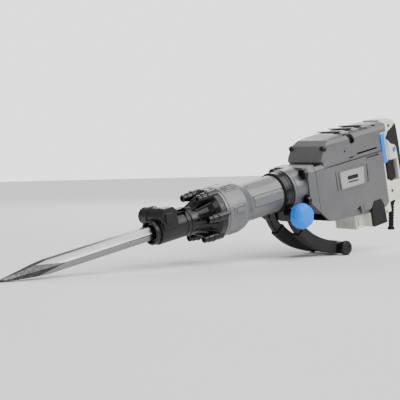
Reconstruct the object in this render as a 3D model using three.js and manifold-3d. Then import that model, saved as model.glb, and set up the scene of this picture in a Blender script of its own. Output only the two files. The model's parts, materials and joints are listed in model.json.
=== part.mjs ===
// Electric demolition hammer with a hex chisel, a swivelling side handle and a D-shaped rear handle.
// Millimetres. Each piece is drawn in the tool's own frame: +X along the tool axis towards the
// chisel, +Y to the tool's left, +Z up, and X = 0 at the ring behind the barrel.
// At the end the whole tool is tipped nose down, so that it lies on its chisel and side handle.
import * as THREE from 'three';
import { ConvexGeometry } from 'three/addons/geometries/ConvexGeometry.js';
import { mergeVertices } from 'three/addons/utils/BufferGeometryUtils.js';
import Module from 'manifold-3d';

const wasm = await Module();
wasm.setup();

// ---- driving dimensions -------------------------------------------------------------------

const gap = 0.3;

const chisel = { tipX: 704, taperX: 590, tailX: 226, acrossFlats: 28.6, tipHalf: 2.5, travel: 25 };
const holder = { frontX: 350, rearX: 258, radius: 29.5 };
const retainer = { x: 319, z: 27, radius: 19.3, pinRadius: 15, farY: -50, nearY: 37 };
const cover = { frontX: 257.7, rimX: 181, neckRadius: 30.5, rimRadius: 54.5 };
const coverBolt = { count: 6, circle: 50, headX: 233, headRadius: 8, shankRadius: 5, bossRadius: 10.5 };
const collar = { frontX: 180.7, rearX: 121, coneX: 95, radius: 55.3 };
const barrel = { radius: 41.9, innerRadius: 33.5, rearX: -28 };
const cylinder = { frontX: 165, rearX: -62, outer: 33, inner: 25 };
const clampBand = { frontX: -2.5, rearX: -25, radius: 46.2 };
const clampAxis = { x: -16, z: -53 };
const sideHandle = { barX: -154.5, barZ: -164.3, bendX: -33, bendZ: -130, faceY: 47, capRadius: 17 };
const knob = { innerY: 56, faceY: 88, radius: 29 };
const body = { frontX: -62, seamX: -88, rearX: -318, halfWidth: 58.5, bottomZ: -104, shelfZ: 46, ridgeZ: 31 };
const wall = 4;
const hump = { frontX: -112, topZ: 98, creaseZ: 80, rearX: -355, overhangZ: 72 };
const crank = { x: -150, throw: 22, gearTeeth: 26 };
const idler = { x: -202.5, smallTeeth: 9, largeTeeth: 32 };
const motor = { x: -261, pinionTeeth: 7, statorRadius: 46, statorBottom: -78, statorTop: 6 };
const gearModule = 3;
const lowerBox = { frontX: -219, stepX: -250, bottomZ: -139, frontHalf: 35.5, rearHalf: 54.2 };
const tail = { rearX: -346, lowHalf: 40, bottomZ: -124 };
const grip = { frontX: -376, backX: -425, halfWidth: 24, topZ: 98, bottomZ: -106 };

// ---- shaping helpers ----------------------------------------------------------------------

function volumeOf(geometry) {
  const p = geometry.attributes.position;
  const index = geometry.index.array;
  const a = new THREE.Vector3();
  const b = new THREE.Vector3();
  const c = new THREE.Vector3();
  let volume = 0;
  for (let i = 0; i < index.length; i += 3) {
    a.fromBufferAttribute(p, index[i]);
    b.fromBufferAttribute(p, index[i + 1]);
    c.fromBufferAttribute(p, index[i + 2]);
    volume += a.dot(b.cross(c)) / 6;
  }
  return volume;
}

// One closed skin facing out: shared corners merged, collapsed faces dropped.
function closed(geometry) {
  geometry.deleteAttribute('normal');
  geometry.deleteAttribute('uv');
  const merged = mergeVertices(geometry, 1e-4);
  const kept = [];
  const index = merged.index.array;
  for (let i = 0; i < index.length; i += 3) {
    const [a, b, c] = [index[i], index[i + 1], index[i + 2]];
    if (a !== b && b !== c && c !== a) {
      kept.push(a, b, c);
    }
  }
  merged.setIndex(kept);
  if (volumeOf(merged) < 0) {
    for (let i = 0; i < kept.length; i += 3) {
      [kept[i], kept[i + 1]] = [kept[i + 1], kept[i]];
    }
    merged.setIndex(kept);
  }
  return merged;
}

function toSolid(geometry) {
  return new wasm.Manifold(new wasm.Mesh({
    numProp: 3,
    vertProperties: new Float32Array(geometry.attributes.position.array),
    triVerts: new Uint32Array(geometry.index.array),
  }));
}

function toGeometry(solid) {
  const mesh = solid.getMesh();
  const geometry = new THREE.BufferGeometry();
  geometry.setAttribute('position', new THREE.BufferAttribute(new Float32Array(mesh.vertProperties), 3));
  geometry.setIndex(new THREE.BufferAttribute(new Uint32Array(mesh.triVerts), 1));
  return geometry;
}

function combine(how, first, rest) {
  let solid = toSolid(first);
  for (const part of rest) {
    solid = solid[how](toSolid(part));
  }
  return toGeometry(solid);
}
const join = (first, ...rest) => combine('add', first, rest);
const cut = (first, ...rest) => combine('subtract', first, rest);
const common = (first, ...rest) => combine('intersect', first, rest);

// Places a drawn XY outline so that it is extruded along one of the tool's axes.
const alongX = new THREE.Matrix4().set(0, 0, 1, 0, 1, 0, 0, 0, 0, 1, 0, 0, 0, 0, 0, 1);
const alongY = new THREE.Matrix4().set(1, 0, 0, 0, 0, 0, -1, 0, 0, 1, 0, 0, 0, 0, 0, 1);

function extrude(outline, depth, curveSegments) {
  const shape = outline instanceof THREE.Shape
    ? outline
    : new THREE.Shape(outline.map(([u, v]) => new THREE.Vector2(u, v)));
  return new THREE.ExtrudeGeometry(shape, { depth, bevelEnabled: false, curveSegments });
}
// Outline in Y and Z, running from x0 to x1.
function slabX(outline, x0, x1, segments = 6) {
  return closed(extrude(outline, x1 - x0, segments).applyMatrix4(alongX).translate(x0, 0, 0));
}
// Outline in X and Z, running from y0 to y1.
function slabY(outline, y0, y1, segments = 6) {
  return closed(extrude(outline, y1 - y0, segments).applyMatrix4(alongY).translate(0, y1, 0));
}
// Outline in X and Y, running from z0 to z1.
function slabZ(outline, z0, z1, segments = 6) {
  return closed(extrude(outline, z1 - z0, segments).translate(0, 0, z0));
}
function box(x0, x1, y0, y1, z0, z1) {
  const geometry = new THREE.BoxGeometry(Math.abs(x1 - x0), Math.abs(y1 - y0), Math.abs(z1 - z0));
  return closed(geometry.translate((x0 + x1) / 2, (y0 + y1) / 2, (z0 + z1) / 2));
}
function roundedRect(u0, u1, v0, v1, r) {
  const shape = new THREE.Shape();
  shape.moveTo(u0 + r, v0);
  shape.lineTo(u1 - r, v0);
  shape.absarc(u1 - r, v0 + r, r, -Math.PI / 2, 0);
  shape.lineTo(u1, v1 - r);
  shape.absarc(u1 - r, v1 - r, r, 0, Math.PI / 2);
  shape.lineTo(u0 + r, v1);
  shape.absarc(u0 + r, v1 - r, r, Math.PI / 2, Math.PI);
  shape.lineTo(u0, v0 + r);
  shape.absarc(u0 + r, v0 + r, r, Math.PI, Math.PI * 1.5);
  return shape;
}
// A turned piece. The profile is a closed outline of [distance along the axis, radius].
function turned(profile, segments = 28) {
  const points = [...profile, profile[0]].map(([along, radius]) => new THREE.Vector2(radius, along));
  return closed(new THREE.LatheGeometry(points, segments));
}
function turnedX(profile, segments) {
  return turned(profile, segments).rotateZ(-Math.PI / 2);
}
function turnedY(profile, x, z, segments) {
  return turned(profile, segments).translate(x, 0, z);
}
function turnedZ(profile, x, y, segments) {
  return turned(profile, segments).rotateX(Math.PI / 2).translate(x, y, 0);
}
const rod = (a0, a1, r) => [[a0, 0], [a1, 0], [a1, r], [a0, r]];
const tube = (a0, a1, outer, inner) => [[a0, inner], [a1, inner], [a1, outer], [a0, outer]];

function hexagon(acrossFlats, turn = 0) {
  const corner = acrossFlats / Math.sqrt(3);
  return [0, 1, 2, 3, 4, 5].map((i) => {
    const angle = (i + turn) * Math.PI / 3;
    return [corner * Math.cos(angle), corner * Math.sin(angle)];
  });
}
function ring(x, radius, count = 24, scaleY = 1, scaleZ = 1) {
  return Array.from({ length: count }, (_, i) => {
    const angle = i * 2 * Math.PI / count;
    return new THREE.Vector3(x, radius * scaleY * Math.cos(angle), radius * scaleZ * Math.sin(angle));
  });
}
const hull = (points) => closed(new ConvexGeometry(points));
const mirrorY = (geometry) => closed(geometry.clone().scale(1, -1, 1));

// ---- finishes -----------------------------------------------------------------------------

const finish = (color, roughness, metalness) => new THREE.MeshStandardMaterial({ color, roughness, metalness });
const looks = {
  greyPaint: () => finish(0x85878a, 0.45, 0.2),
  lightGrey: () => finish(0xc4c5c6, 0.5, 0.1),
  cream: () => finish(0xece7dc, 0.5, 0),
  black: () => finish(0x26272a, 0.55, 0.1),
  rubber: () => finish(0x1d1d1f, 0.85, 0),
  blue: () => finish(0x3f9bf0, 0.4, 0),
  steel: () => finish(0xb9bcc0, 0.25, 1),
  darkSteel: () => finish(0x4b4d50, 0.4, 1),
  copper: () => finish(0xb06a3a, 0.4, 1),
};

const tool = new THREE.Group();
function add(name, geometry, look) {
  const mesh = new THREE.Mesh(geometry, looks[look]());
  mesh.name = name;
  tool.add(mesh);
}

// ---- chisel and tool holder ---------------------------------------------------------------

function makeChisel() {
  const bar = slabX(hexagon(chisel.acrossFlats), chisel.tailX, chisel.taperX);
  const point = [];
  for (const [y, z] of hexagon(chisel.acrossFlats)) {
    point.push(new THREE.Vector3(chisel.taperX - 1, y, z));
  }
  for (const [y, z] of [[1, 1], [-1, 1], [-1, -1], [1, -1]]) {
    point.push(new THREE.Vector3(chisel.taperX + 30, y * 10.5, z * 10.5));
    point.push(new THREE.Vector3(chisel.tipX, y * chisel.tipHalf, z * chisel.tipHalf));
  }
  // The notch on top lets the chisel slide in from its stop against the cross pin.
  const notchLow = retainer.z - retainer.pinRadius - 0.6;
  const notch = box(retainer.x - 8.6, retainer.x + 8.6 + chisel.travel, -20, 20, notchLow, 20);
  return cut(join(bar, hull(point)), notch);
}
add('chisel', makeChisel(), 'steel');

function makeHolder() {
  const shell = turnedX([
    [holder.rearX, 22], [holder.frontX, 22], [holder.frontX, 24], [holder.frontX - 6, 27.5],
    [holder.frontX - 10, 27.5], [holder.frontX - 12, holder.radius], [holder.rearX, holder.radius],
  ], 20);
  const crossBoss = turnedY(rod(-24, 31, retainer.radius), retainer.x, retainer.z, 16);
  const nearSide = [[-23, -24], [15, -24], [15, 12], [7, 19], [-15, 19], [-23, 11]];
  const nearBlock = slabY(nearSide.map(([x, z]) => [retainer.x + x, retainer.z + z]), 14, retainer.nearY - 3);
  const bore = turnedX(rod(holder.rearX - 5, holder.frontX + 5, 22), 20);
  const pinHole = turnedY(rod(-40, 28, retainer.pinRadius + gap), retainer.x, retainer.z, 16);
  const headSeat = turnedY(rod(-60, -24.3, retainer.radius), retainer.x, retainer.z, 16);
  return cut(join(shell, crossBoss, nearBlock), bore, pinHole, headSeat);
}
add('tool_holder', makeHolder(), 'black');

function makeBushing() {
  const sleeve = turnedX(rod(holder.rearX + 1, holder.frontX - 8, 21.4), 20);
  const hexBore = slabX(hexagon(chisel.acrossFlats + 0.8), holder.rearX - 5, holder.frontX + 5);
  const window = box(retainer.x - 16, retainer.x + 16, -25, 25, 8, 30);
  return cut(sleeve, hexBore, window);
}
add('chisel_bushing', makeBushing(), 'darkSteel');

// The cross pin has a flat: turned over, it lets the chisel out.
function makeRetainerPin() {
  const stem = turnedY(rod(retainer.farY + 10, 27, retainer.pinRadius), retainer.x, retainer.z, 16);
  const flat = box(retainer.x - 20, retainer.x + 20, -24, 30, retainer.z + 11.9, retainer.z + 20);
  const headProfile = [
    [retainer.farY, 0], [-24.7, 0], [-24.7, 18.7], [-43.5, 18.7], [-44.2, 17.6], [-45.8, 17.6],
    [-46.5, 18.7], [retainer.farY + 1.5, 18.7], [retainer.farY, 16.5],
  ];
  const head = turnedY(headProfile, retainer.x, retainer.z, 16);
  return join(cut(stem, flat), head);
}
add('retainer_pin', makeRetainerPin(), 'black');

// ---- front cover, its bolts and the barrel ------------------------------------------------

function boltPlace(i) {
  const angle = i * 2 * Math.PI / coverBolt.count;
  return [coverBolt.circle * Math.cos(angle), coverBolt.circle * Math.sin(angle)];
}
function discX(x0, x1, radius, y, z, segments = 14) {
  return turnedX(rod(x0, x1, radius), segments).translate(0, y, z);
}

function makeFrontCover() {
  let shape = turnedX([
    [cover.rimX, 24], [cover.frontX, 24], [cover.frontX, cover.neckRadius], [236, cover.neckRadius],
    [212, 38], [202, 46], [198, cover.rimRadius], [cover.rimX, cover.rimRadius],
  ], 24);
  const ribs = [];
  for (let i = 0; i < coverBolt.count; i += 1) {
    const [y, z] = boltPlace(i);
    ribs.push(discX(cover.rimX + 1, coverBolt.headX - 10, coverBolt.bossRadius, y, z, 8));
    const rib = box(197, 238, -2.2, 2.2, 26, 45);
    ribs.push(rib.rotateX((i + 0.5) * Math.PI / 3 - Math.PI / 2));
  }
  shape = join(shape, ...ribs);
  const limit = turnedX(rod(cover.rimX, cover.frontX + 2, 60.5), 24);
  const holes = [];
  for (let i = 0; i < coverBolt.count; i += 1) {
    const [y, z] = boltPlace(i);
    holes.push(discX(cover.rimX - 5, cover.frontX, coverBolt.shankRadius + 0.4, y, z, 8));
  }
  return cut(common(shape, limit), ...holes, turnedX(rod(cover.rimX - 1, cover.frontX + 1, 24), 24));
}
add('front_cover', makeFrontCover(), 'black');

for (let i = 0; i < coverBolt.count; i += 1) {
  const [y, z] = boltPlace(i);
  const shank = discX(150, coverBolt.headX - 9, coverBolt.shankRadius, y, z, 8);
  const head = discX(coverBolt.headX - 9.7, coverBolt.headX, coverBolt.headRadius, y, z, 12);
  const socket = slabX(hexagon(8), coverBolt.headX - 5, coverBolt.headX + 1).translate(0, y, z);
  add(`cover_bolt_${i + 1}`, cut(join(shank, head), socket), 'darkSteel');
}

function makeBarrel() {
  const shell = turnedX([
    [barrel.rearX, barrel.innerRadius], [collar.frontX, barrel.innerRadius],
    [collar.frontX, collar.radius - 1.5], [collar.frontX - 2, collar.radius],
    [collar.rearX, collar.radius - 0.6], [collar.coneX, barrel.radius],
    [0, barrel.radius], [0, 40], [barrel.rearX, 40],
  ], 32);
  const pads = [];
  for (let i = 0; i < coverBolt.count; i += 1) {
    const [y, z] = boltPlace(i);
    pads.push(discX(108, collar.frontX, coverBolt.bossRadius - 1, y, z, 8));
  }
  const limit = turnedX([
    [-60, 0], [185, 0], [185, 57], [collar.rearX + 4, 57], [collar.coneX, 44], [-60, 44],
  ], 32);
  // A long raised flat runs along each flank of the barrel.
  const flank = box(6, collar.coneX + 6, 38, 43.4, -9, 15);
  const holes = [];
  for (let i = 0; i < coverBolt.count; i += 1) {
    const [y, z] = boltPlace(i);
    holes.push(discX(146, collar.frontX + 5, coverBolt.shankRadius + 0.4, y, z, 8));
  }
  const bore = turnedX(rod(-40, 190, barrel.innerRadius + 0.1), 32);
  const shape = common(join(shell, ...pads, flank, mirrorY(flank)), limit);
  const oilHole = turnedY(rod(38, 48, 2), 84, 14, 6);
  return cut(shape, bore, oilHole, ...holes);
}
add('barrel', makeBarrel(), 'greyPaint');

add('barrel_ring', turnedX(tube(-2.2, -gap, 45.4, 40.5), 32), 'rubber');

// ---- hammer mechanism inside the barrel ---------------------------------------------------

add('cylinder_liner', turnedX(tube(cylinder.rearX, cylinder.frontX, cylinder.outer, cylinder.inner), 28), 'steel');

// The anvil stops just short of the chisel's tail when the chisel is pushed right in.
const anvilFront = chisel.tailX - chisel.travel - gap;
const anvilProfile = [
  [110, 0], [anvilFront, 0], [anvilFront, 14], [184, 14],
  [182, 17.5], [150, 17.5], [147, 23.5], [127, 23.5], [124, 15], [110, 15],
];
add('anvil', turnedX(anvilProfile, 20), 'steel');

const ramProfile = [[40, 0], [97, 0], [97, 16], [94, 24.6], [43, 24.6], [40, 20]];
add('ram', turnedX(ramProfile, 20), 'steel');

function makePiston() {
  const crown = turnedX([[-34, 0], [8, 0], [8, 24], [6, 24.6], [-32, 24.6], [-34, 23]], 24);
  const fork = box(-40, -8, -30, 30, -8.6, 8.6);
  const wristPin = turnedZ(rod(-15, 15, 5), -21, 0, 14);
  return join(cut(crown, fork), wristPin);
}
add('piston', makePiston(), 'steel');

// The big end stops under the crank pin: the pin is short, so the crank can turn by itself.
function makeConRod() {
  const pinX = crank.x + crank.throw;
  const beam = box(pinX + 2, -26, -7, 7, -5, 5);
  const big = turnedZ(rod(-8, 8, 15), pinX, 0, 16);
  const small = turnedZ(rod(-8, 8, 10), -21, 0, 14);
  const bigBore = turnedZ(rod(-10, 10, 8.5), pinX, 0, 14);
  const smallBore = turnedZ(rod(-10, 10, 5.3), -21, 0, 14);
  return cut(join(beam, big, small), bigBore, smallBore);
}
add('con_rod', makeConRod(), 'darkSteel');

// ---- gear train and motor, all on upright shafts ------------------------------------------

// A spur gear outline with short, slack teeth. The first tooth points at the angle `phase`.
function gearOutline(teeth, phase) {
  const pitchRadius = gearModule * teeth / 2;
  const tip = pitchRadius + gearModule * 0.55;
  const root = pitchRadius - gearModule * 0.8;
  const step = 2 * Math.PI / teeth;
  const points = [];
  for (let i = 0; i < teeth; i += 1) {
    for (const [share, radius] of [[-0.25, root], [-0.13, tip], [0.13, tip], [0.25, root]]) {
      const angle = phase + (i + share) * step;
      points.push([radius * Math.cos(angle), radius * Math.sin(angle)]);
    }
  }
  return points;
}
function gear(teeth, x, z0, z1, phase) {
  return slabZ(gearOutline(teeth, phase), z0, z1).translate(x, 0, 0);
}

function makeCrankshaft() {
  const wheel = gear(crank.gearTeeth, crank.x, 14, 27, 0);
  const pin = turnedZ(rod(9, 15, 8), crank.x + crank.throw, 0, 14);
  const shaft = turnedZ(rod(25, 60, 12), crank.x, 0, 16);
  return join(wheel, pin, shaft);
}
add('crankshaft', makeCrankshaft(), 'darkSteel');
add('crank_bearing', turnedZ(tube(33, 45, 24, 12.4), crank.x, 0, 16), 'steel');

function makeIdler() {
  const small = gear(idler.smallTeeth, idler.x, 13, 29, Math.PI / idler.smallTeeth);
  const large = gear(idler.largeTeeth, idler.x, 62.5, 72, 0);
  const shaft = turnedZ(rod(10, 82, 6), idler.x, 0, 12);
  return join(small, large, shaft);
}
add('idler_gear', makeIdler(), 'darkSteel');

function makeArmature() {
  const rotor = turnedZ([
    [-122, 0], [62, 0], [62, 6.5], [24, 6.5], [24, 12], [17, 40], [14, 40], [14, 6.5], [4, 6.5],
    [4, 15], [-1, 22], [-4, 22], [-4, 26], [-68, 26], [-68, 22], [-71, 22], [-77, 15], [-98, 15],
    [-98, 6.5], [-122, 6.5],
  ], motor.x, 0, 20);
  const pinion = gear(motor.pinionTeeth, motor.x, 60, 74, Math.PI / motor.pinionTeeth);
  return join(rotor, pinion);
}
add('armature', makeArmature(), 'copper');
add('stator', turnedZ(tube(motor.statorBottom, motor.statorTop, motor.statorRadius, 27.2), motor.x, 0, 24), 'darkSteel');
add('motor_bearing_top', turnedZ(tube(34, 44, 17, 6.9), motor.x, 0, 16), 'steel');
add('motor_bearing_bottom', turnedZ(tube(-120, -110, 15, 6.9), motor.x, 0, 16), 'steel');

function makeBrush() {
  return box(motor.x - 5, motor.x + 5, 16.6, 34, -93, -83);
}
add('carbon_brush_left', makeBrush(), 'black');
add('carbon_brush_right', mirrorY(makeBrush()), 'black');

// ---- main body ----------------------------------------------------------------------------

// Side view of the whole casting, front housing and body shells together.
const bodySide = [
  [body.frontX, body.shelfZ], [body.frontX, -36], [-114, -91], [-240, body.bottomZ],
  [body.rearX, body.bottomZ], [body.rearX, body.ridgeZ], [-119, body.ridgeZ], [-119, body.shelfZ],
];
const w = body.halfWidth;
const bodySection = [
  [-w, -94], [-w + 9, body.bottomZ - 1], [w - 9, body.bottomZ - 1], [w, -94],
  [w, 33], [w - 12, body.shelfZ + 1], [-w + 12, body.shelfZ + 1], [-w, 33],
];
const bodyBlock = common(slabY(bodySide, -w - 1, w + 1), slabX(bodySection, body.rearX - 1, body.frontX + 1));

const cornerScrew = { y: 48, topZ: 32, lowZ: -28, radius: 11, faceX: -57 };

function makeFrontHousing() {
  const front = common(bodyBlock, box(body.seamX + gap, 0, -80, 80, -120, 80));
  const neck = hull([...ring(-32, 46.5, 24), ...ring(-64, 54, 24, 1, 0.86)]);
  const lip = turnedX(rod(-36, -29, 47.2), 32);
  const bosses = [];
  for (const side of [-1, 1]) {
    for (const z of [cornerScrew.topZ, cornerScrew.lowZ]) {
      bosses.push(discX(-70, cornerScrew.faceX, cornerScrew.radius, side * cornerScrew.y, z, 14));
    }
  }
  const bore = turnedX(rod(-120, 0, 40.6), 32);
  const behind = box(-120, -80, -49, 49, -52, body.shelfZ - wall);
  const screwHoles = [];
  for (const side of [-1, 1]) {
    for (const z of [cornerScrew.topZ, cornerScrew.lowZ]) {
      screwHoles.push(discX(-95, -63, 4.4, side * cornerScrew.y, z, 8));
      screwHoles.push(discX(-66, -50, 8.4, side * cornerScrew.y, z, 12));
    }
  }
  return cut(join(front, neck, lip, ...bosses), bore, behind, ...screwHoles);
}
add('front_housing', makeFrontHousing(), 'greyPaint');

let screwCount = 0;
for (const side of [1, -1]) {
  for (const z of [cornerScrew.topZ, cornerScrew.lowZ]) {
    screwCount += 1;
    const y = side * cornerScrew.y;
    const head = discX(-65.5, cornerScrew.faceX + 1.5, 8, y, z, 12);
    const shank = discX(-86, -65, 4, y, z, 8);
    const socket = slabX(hexagon(8), cornerScrew.faceX - 4, cornerScrew.faceX + 3).translate(0, y, z);
    add(`housing_screw_${screwCount}`, cut(join(head, shank), socket), 'darkSteel');
  }
}

// Details of the left flank, in X and Z. The right flank mirrors them.
const plateOutline = [[-160, 15], [-249, 12], [-243, -32], [-161, -30]];
const padOutline = [
  [-252.5, -101], [-265, -80.5], [-290, -80.5], [-298, -96], [-301.5, -139.5], [-252, -139.5],
];
function flankCuts() {
  const groove = (x, z0, z1, lean) => slabY(
    [[x - 1.5, z0], [x + 1.5, z0], [x + 1.5 + lean, z1], [x - 1.5 + lean, z1]],
    w - 2,
    w + 2,
  );
  const pocket = slabY(padOutline.map(([x, z]) => [x + (x > -275 ? 0.5 : -0.5), z + 0.5]), 54.5, w + 2);
  const recess = slabY([[-184, -97], [-218, -78], [-224, -106]], w - 7, w + 3);
  const vent = slabY(roundedRect(-304, -258, 23.5, 27.5, 1.9), w - 6, w + 2, 3);
  return [groove(-151, -30, 14, 0), groove(-254, -30, 13, -4), pocket, recess, vent];
}

function makeBodyShells() {
  const shell = common(bodyBlock, box(-400, body.seamX - gap, -80, 80, -120, 80));
  const inside = box(-93, body.rearX + wall, -w + wall + 3, w - wall - 3, -88, 60);
  const wellDown = box(-232, body.rearX + wall, -34, 34, -120, -80);
  const motorWell = box(motor.x - 50, motor.x + 50, -48, 48, -98, -80);
  const crankDoor = box(-120, -80, -50, 50, -50, body.shelfZ - wall);
  const left = flankCuts();
  const right = flankCuts().map(mirrorY);
  const hollow = cut(shell, inside, wellDown, motorWell, crankDoor, ...left, ...right);
  const floorFront = common(slabY([[-100, -60], [-128, -84], [-128, -100], [-100, -100]], -w, w), bodyBlock);
  const kept = join(hollow, common(floorFront, box(-400, body.seamX - gap, -80, 80, -120, 80)));
  return [
    common(kept, box(-400, 0, gap / 2, 100, -200, 200)),
    common(kept, box(-400, 0, -100, -gap / 2, -200, 200)),
  ];
}
const [bodyLeft, bodyRight] = makeBodyShells();
add('body_shell_left', bodyLeft, 'greyPaint');
add('body_shell_right', bodyRight, 'greyPaint');

const plate = slabY(plateOutline, w + gap, w + 2.2);
add('nameplate_left', plate, 'lightGrey');
add('nameplate_right', mirrorY(plate), 'lightGrey');

// ---- hump: the cover over the gears -------------------------------------------------------

function makeGearCover() {
  const side = [
    [hump.frontX, body.shelfZ + gap], [-132, 79], [-150, 90], [-186, hump.topZ], [-330, hump.topZ],
    [-347, 95], [hump.rearX, 86], [hump.rearX, hump.overhangZ], [body.rearX, hump.overhangZ],
    [body.rearX, body.ridgeZ + gap], [-119 - gap, body.ridgeZ + gap], [-119 - gap, body.shelfZ + gap],
  ];
  const half = [[56.5, 30], [54, hump.creaseZ], [49, 88.5], [38, 94.5], [22, 97.3], [0, hump.topZ + 0.1]];
  const section = [...half, ...half.slice(0, -1).reverse().map(([y, z]) => [-y, z])];
  const plan = [
    [-110, 47], [-127, 58], [-322, 58], [-345, 52], [-354, 44], [-357, 30],
    [-357, -30], [-354, -44], [-345, -52], [-322, -58], [-127, -58], [-110, -47],
  ];
  const outer = common(slabY(side, -60, 60), slabX(section, -360, -100), slabZ(plan, 20, 100));
  const inner = common(
    slabY([[-122.5, 20], [-122.5, 50], [-140, 79], [-190, 93], [-312, 93], [-312, 20]], -50.5, 50.5),
    slabX([[-52, 20], [-50, 78], [-34, 91], [34, 91], [50, 78], [52, 20]], -340, -100),
  );
  const slots = [-201, -239, -274].map((x) => box(x - 4, x + 4, -32, 32, 88, 110));
  const flank = [
    slabY(roundedRect(-304, -233, 39, 43, 1.9), 50, 62, 3),
    slabY(roundedRect(-222, -205, 35.5, 38.5, 1.4), 50, 62, 3),
    slabY([[-211, 100], [-221, 100], [-230, 84], [-231, 69], [-217, 69], [-217, 82]], 44, 62),
    slabY(roundedRect(-290, -265, 89.5, 93, 1.6), 40, 50, 3),
  ];
  return cut(outer, inner, ...slots, ...flank, ...flank.map(mirrorY));
}
add('gear_cover', makeGearCover(), 'greyPaint');

// ---- lower cover and its rubber pads ------------------------------------------------------

function makeLowerCover() {
  const top = body.bottomZ - gap;
  const front = slabZ(roundedRect(lowerBox.stepX - 3, lowerBox.frontX, -lowerBox.frontHalf, lowerBox.frontHalf, 6),
    lowerBox.bottomZ, top, 3);
  const rear = box(-316, lowerBox.stepX, -lowerBox.rearHalf, lowerBox.rearHalf, lowerBox.bottomZ, top);
  const rearTaper = box(-317, -303, -60, 60, -160, -124);
  const inside = box(-296, -224, -31, 31, lowerBox.bottomZ + wall, top + 5);
  return cut(join(front, rear), rearTaper, inside);
}
add('lower_cover', makeLowerCover(), 'cream');

const pad = slabY(padOutline, 54.8, 60.5);
add('rubber_pad_left', pad, 'rubber');
add('rubber_pad_right', mirrorY(pad), 'rubber');

// ---- tail cover, blue strips and rear handle ----------------------------------------------

function makeTailCover() {
  const wing = slabZ([
    [body.rearX - gap, 56.5], [-335, 54.5], [tail.rearX, 46], [tail.rearX, -46], [-335, -54.5],
    [body.rearX - gap, -56.5],
  ], 0, hump.overhangZ - gap);
  const low = box(tail.rearX, body.rearX - gap, -tail.lowHalf, tail.lowHalf, tail.bottomZ, 5);
  const stripSeat = box(-333.4, -317, 54, 70, -1, 71);
  const inside = box(-341, -310, -34, 34, -98, 66);
  return cut(join(wing, low), stripSeat, mirrorY(stripSeat), inside);
}
add('tail_cover', makeTailCover(), 'cream');

const strip = slabZ([[-318.4, 54.3], [-318.4, 58.2], [-331, 57.4], [-333, 55.6], [-333, 54.3]], 0, 69);
add('accent_strip_left', strip, 'blue');
add('accent_strip_right', mirrorY(strip), 'blue');

// Side view of the D-shaped handle, back to front over the top.
function handleOutline() {
  const shape = new THREE.Shape();
  shape.moveTo(tail.rearX - gap, grip.bottomZ);
  shape.lineTo(tail.rearX - gap, 71);
  shape.lineTo(hump.rearX - gap, 71);
  shape.lineTo(hump.rearX - gap, grip.topZ);
  shape.lineTo(-385, grip.topZ - 1);
  shape.quadraticCurveTo(-418, 93, -421, 74);
  shape.quadraticCurveTo(grip.backX - 2, 10, grip.backX + 4, -66);
  shape.quadraticCurveTo(-420, -96, -402, grip.bottomZ);
  shape.closePath();
  shape.holes.push(roundedRect(grip.frontX, tail.rearX - 2, -52, 60, 11));
  return shape;
}
const gripPlan = [
  [-340, 27], [-372, 25], [-398, grip.halfWidth], [-414, 20], [-422, 13], [-427, 0],
  [-422, -13], [-414, -20], [-398, -grip.halfWidth], [-372, -25], [-340, -27],
];
const handleBlock = common(slabY(handleOutline(), -30, 30, 6), slabZ(gripPlan, -130, 120));

// The soft grip wraps the back of the handle and reaches forward near the top.
const softGripSide = [
  [-440, 84], [-414, 84], [-398, 72], [-379, 64], [-377, 48], [-386, 34], [-402, 28],
  [-406, 10], [-408, -40], [-408, -88], [-440, -88],
];
// The wide trigger swings in a slot that is open on both sides.
const triggerSlot = box(-402, -370, -40, 40, -57, -4.5);
const lockButton = { x: -396, z: 18 };
const buttonHole = turnedY(rod(8, 34, 6.5), lockButton.x, lockButton.z, 12);

function makeRearHandle() {
  const soft = slabY(softGripSide, -40, 40);
  const boss = turnedY(rod(18, 26.5, 9.5), lockButton.x, lockButton.z, 12);
  const cordHole = turnedZ(rod(-112, -70, 5), -392, 0, 12);
  const shell = cut(join(handleBlock, boss), soft, triggerSlot, buttonHole, cordHole);
  return [
    common(shell, box(-500, 0, gap / 2, 100, -200, 200)),
    common(shell, box(-500, 0, -100, -gap / 2, -200, 200)),
  ];
}
const [handleLeft, handleRight] = makeRearHandle();
add('rear_handle_left', handleLeft, 'cream');
add('rear_handle_right', handleRight, 'cream');

function makeSoftGrip() {
  const inset = softGripSide.map(([x, z]) => [x - gap, z > 50 ? z - gap : z + gap]);
  return cut(common(handleBlock, slabY(inset, -40, 40)), buttonHole);
}
add('rear_soft_grip', makeSoftGrip(), 'rubber');

function makeTrigger() {
  const side = [
    [-394.5, -6.5], [-379, -6.5], [-369, -14], [-367, -32], [-370, -50], [-376, -55.5], [-385, -55.5], [-394.5, -50],
  ];
  return slabY(side, -21.5, 21.5);
}
add('trigger', makeTrigger(), 'black');

const buttonProfile = [[13, 0], [27.5, 0], [28.5, 2], [28, 5.5], [26.5, 6], [13, 6]];
add('lock_button', turnedY(buttonProfile, lockButton.x, lockButton.z, 12), 'blue');

// The cord guard hangs plumb when the tool lies at rest. The cord itself is not part of the model.
function makeCordGuard() {
  const profile = [
    [0, 4], [2, 10], [5, 10], [6, 7.2], [66, 6.6], [69, 8.4], [74, 8.4], [74, 4],
  ];
  const sleeve = turned(profile, 18).rotateX(-Math.PI / 2);
  const lean = THREE.MathUtils.degToRad(-12);
  return closed(sleeve.rotateY(lean).translate(-391, 0, grip.bottomZ - 2.4));
}
add('cord_guard', makeCordGuard(), 'rubber');

// ---- side handle --------------------------------------------------------------------------

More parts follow.
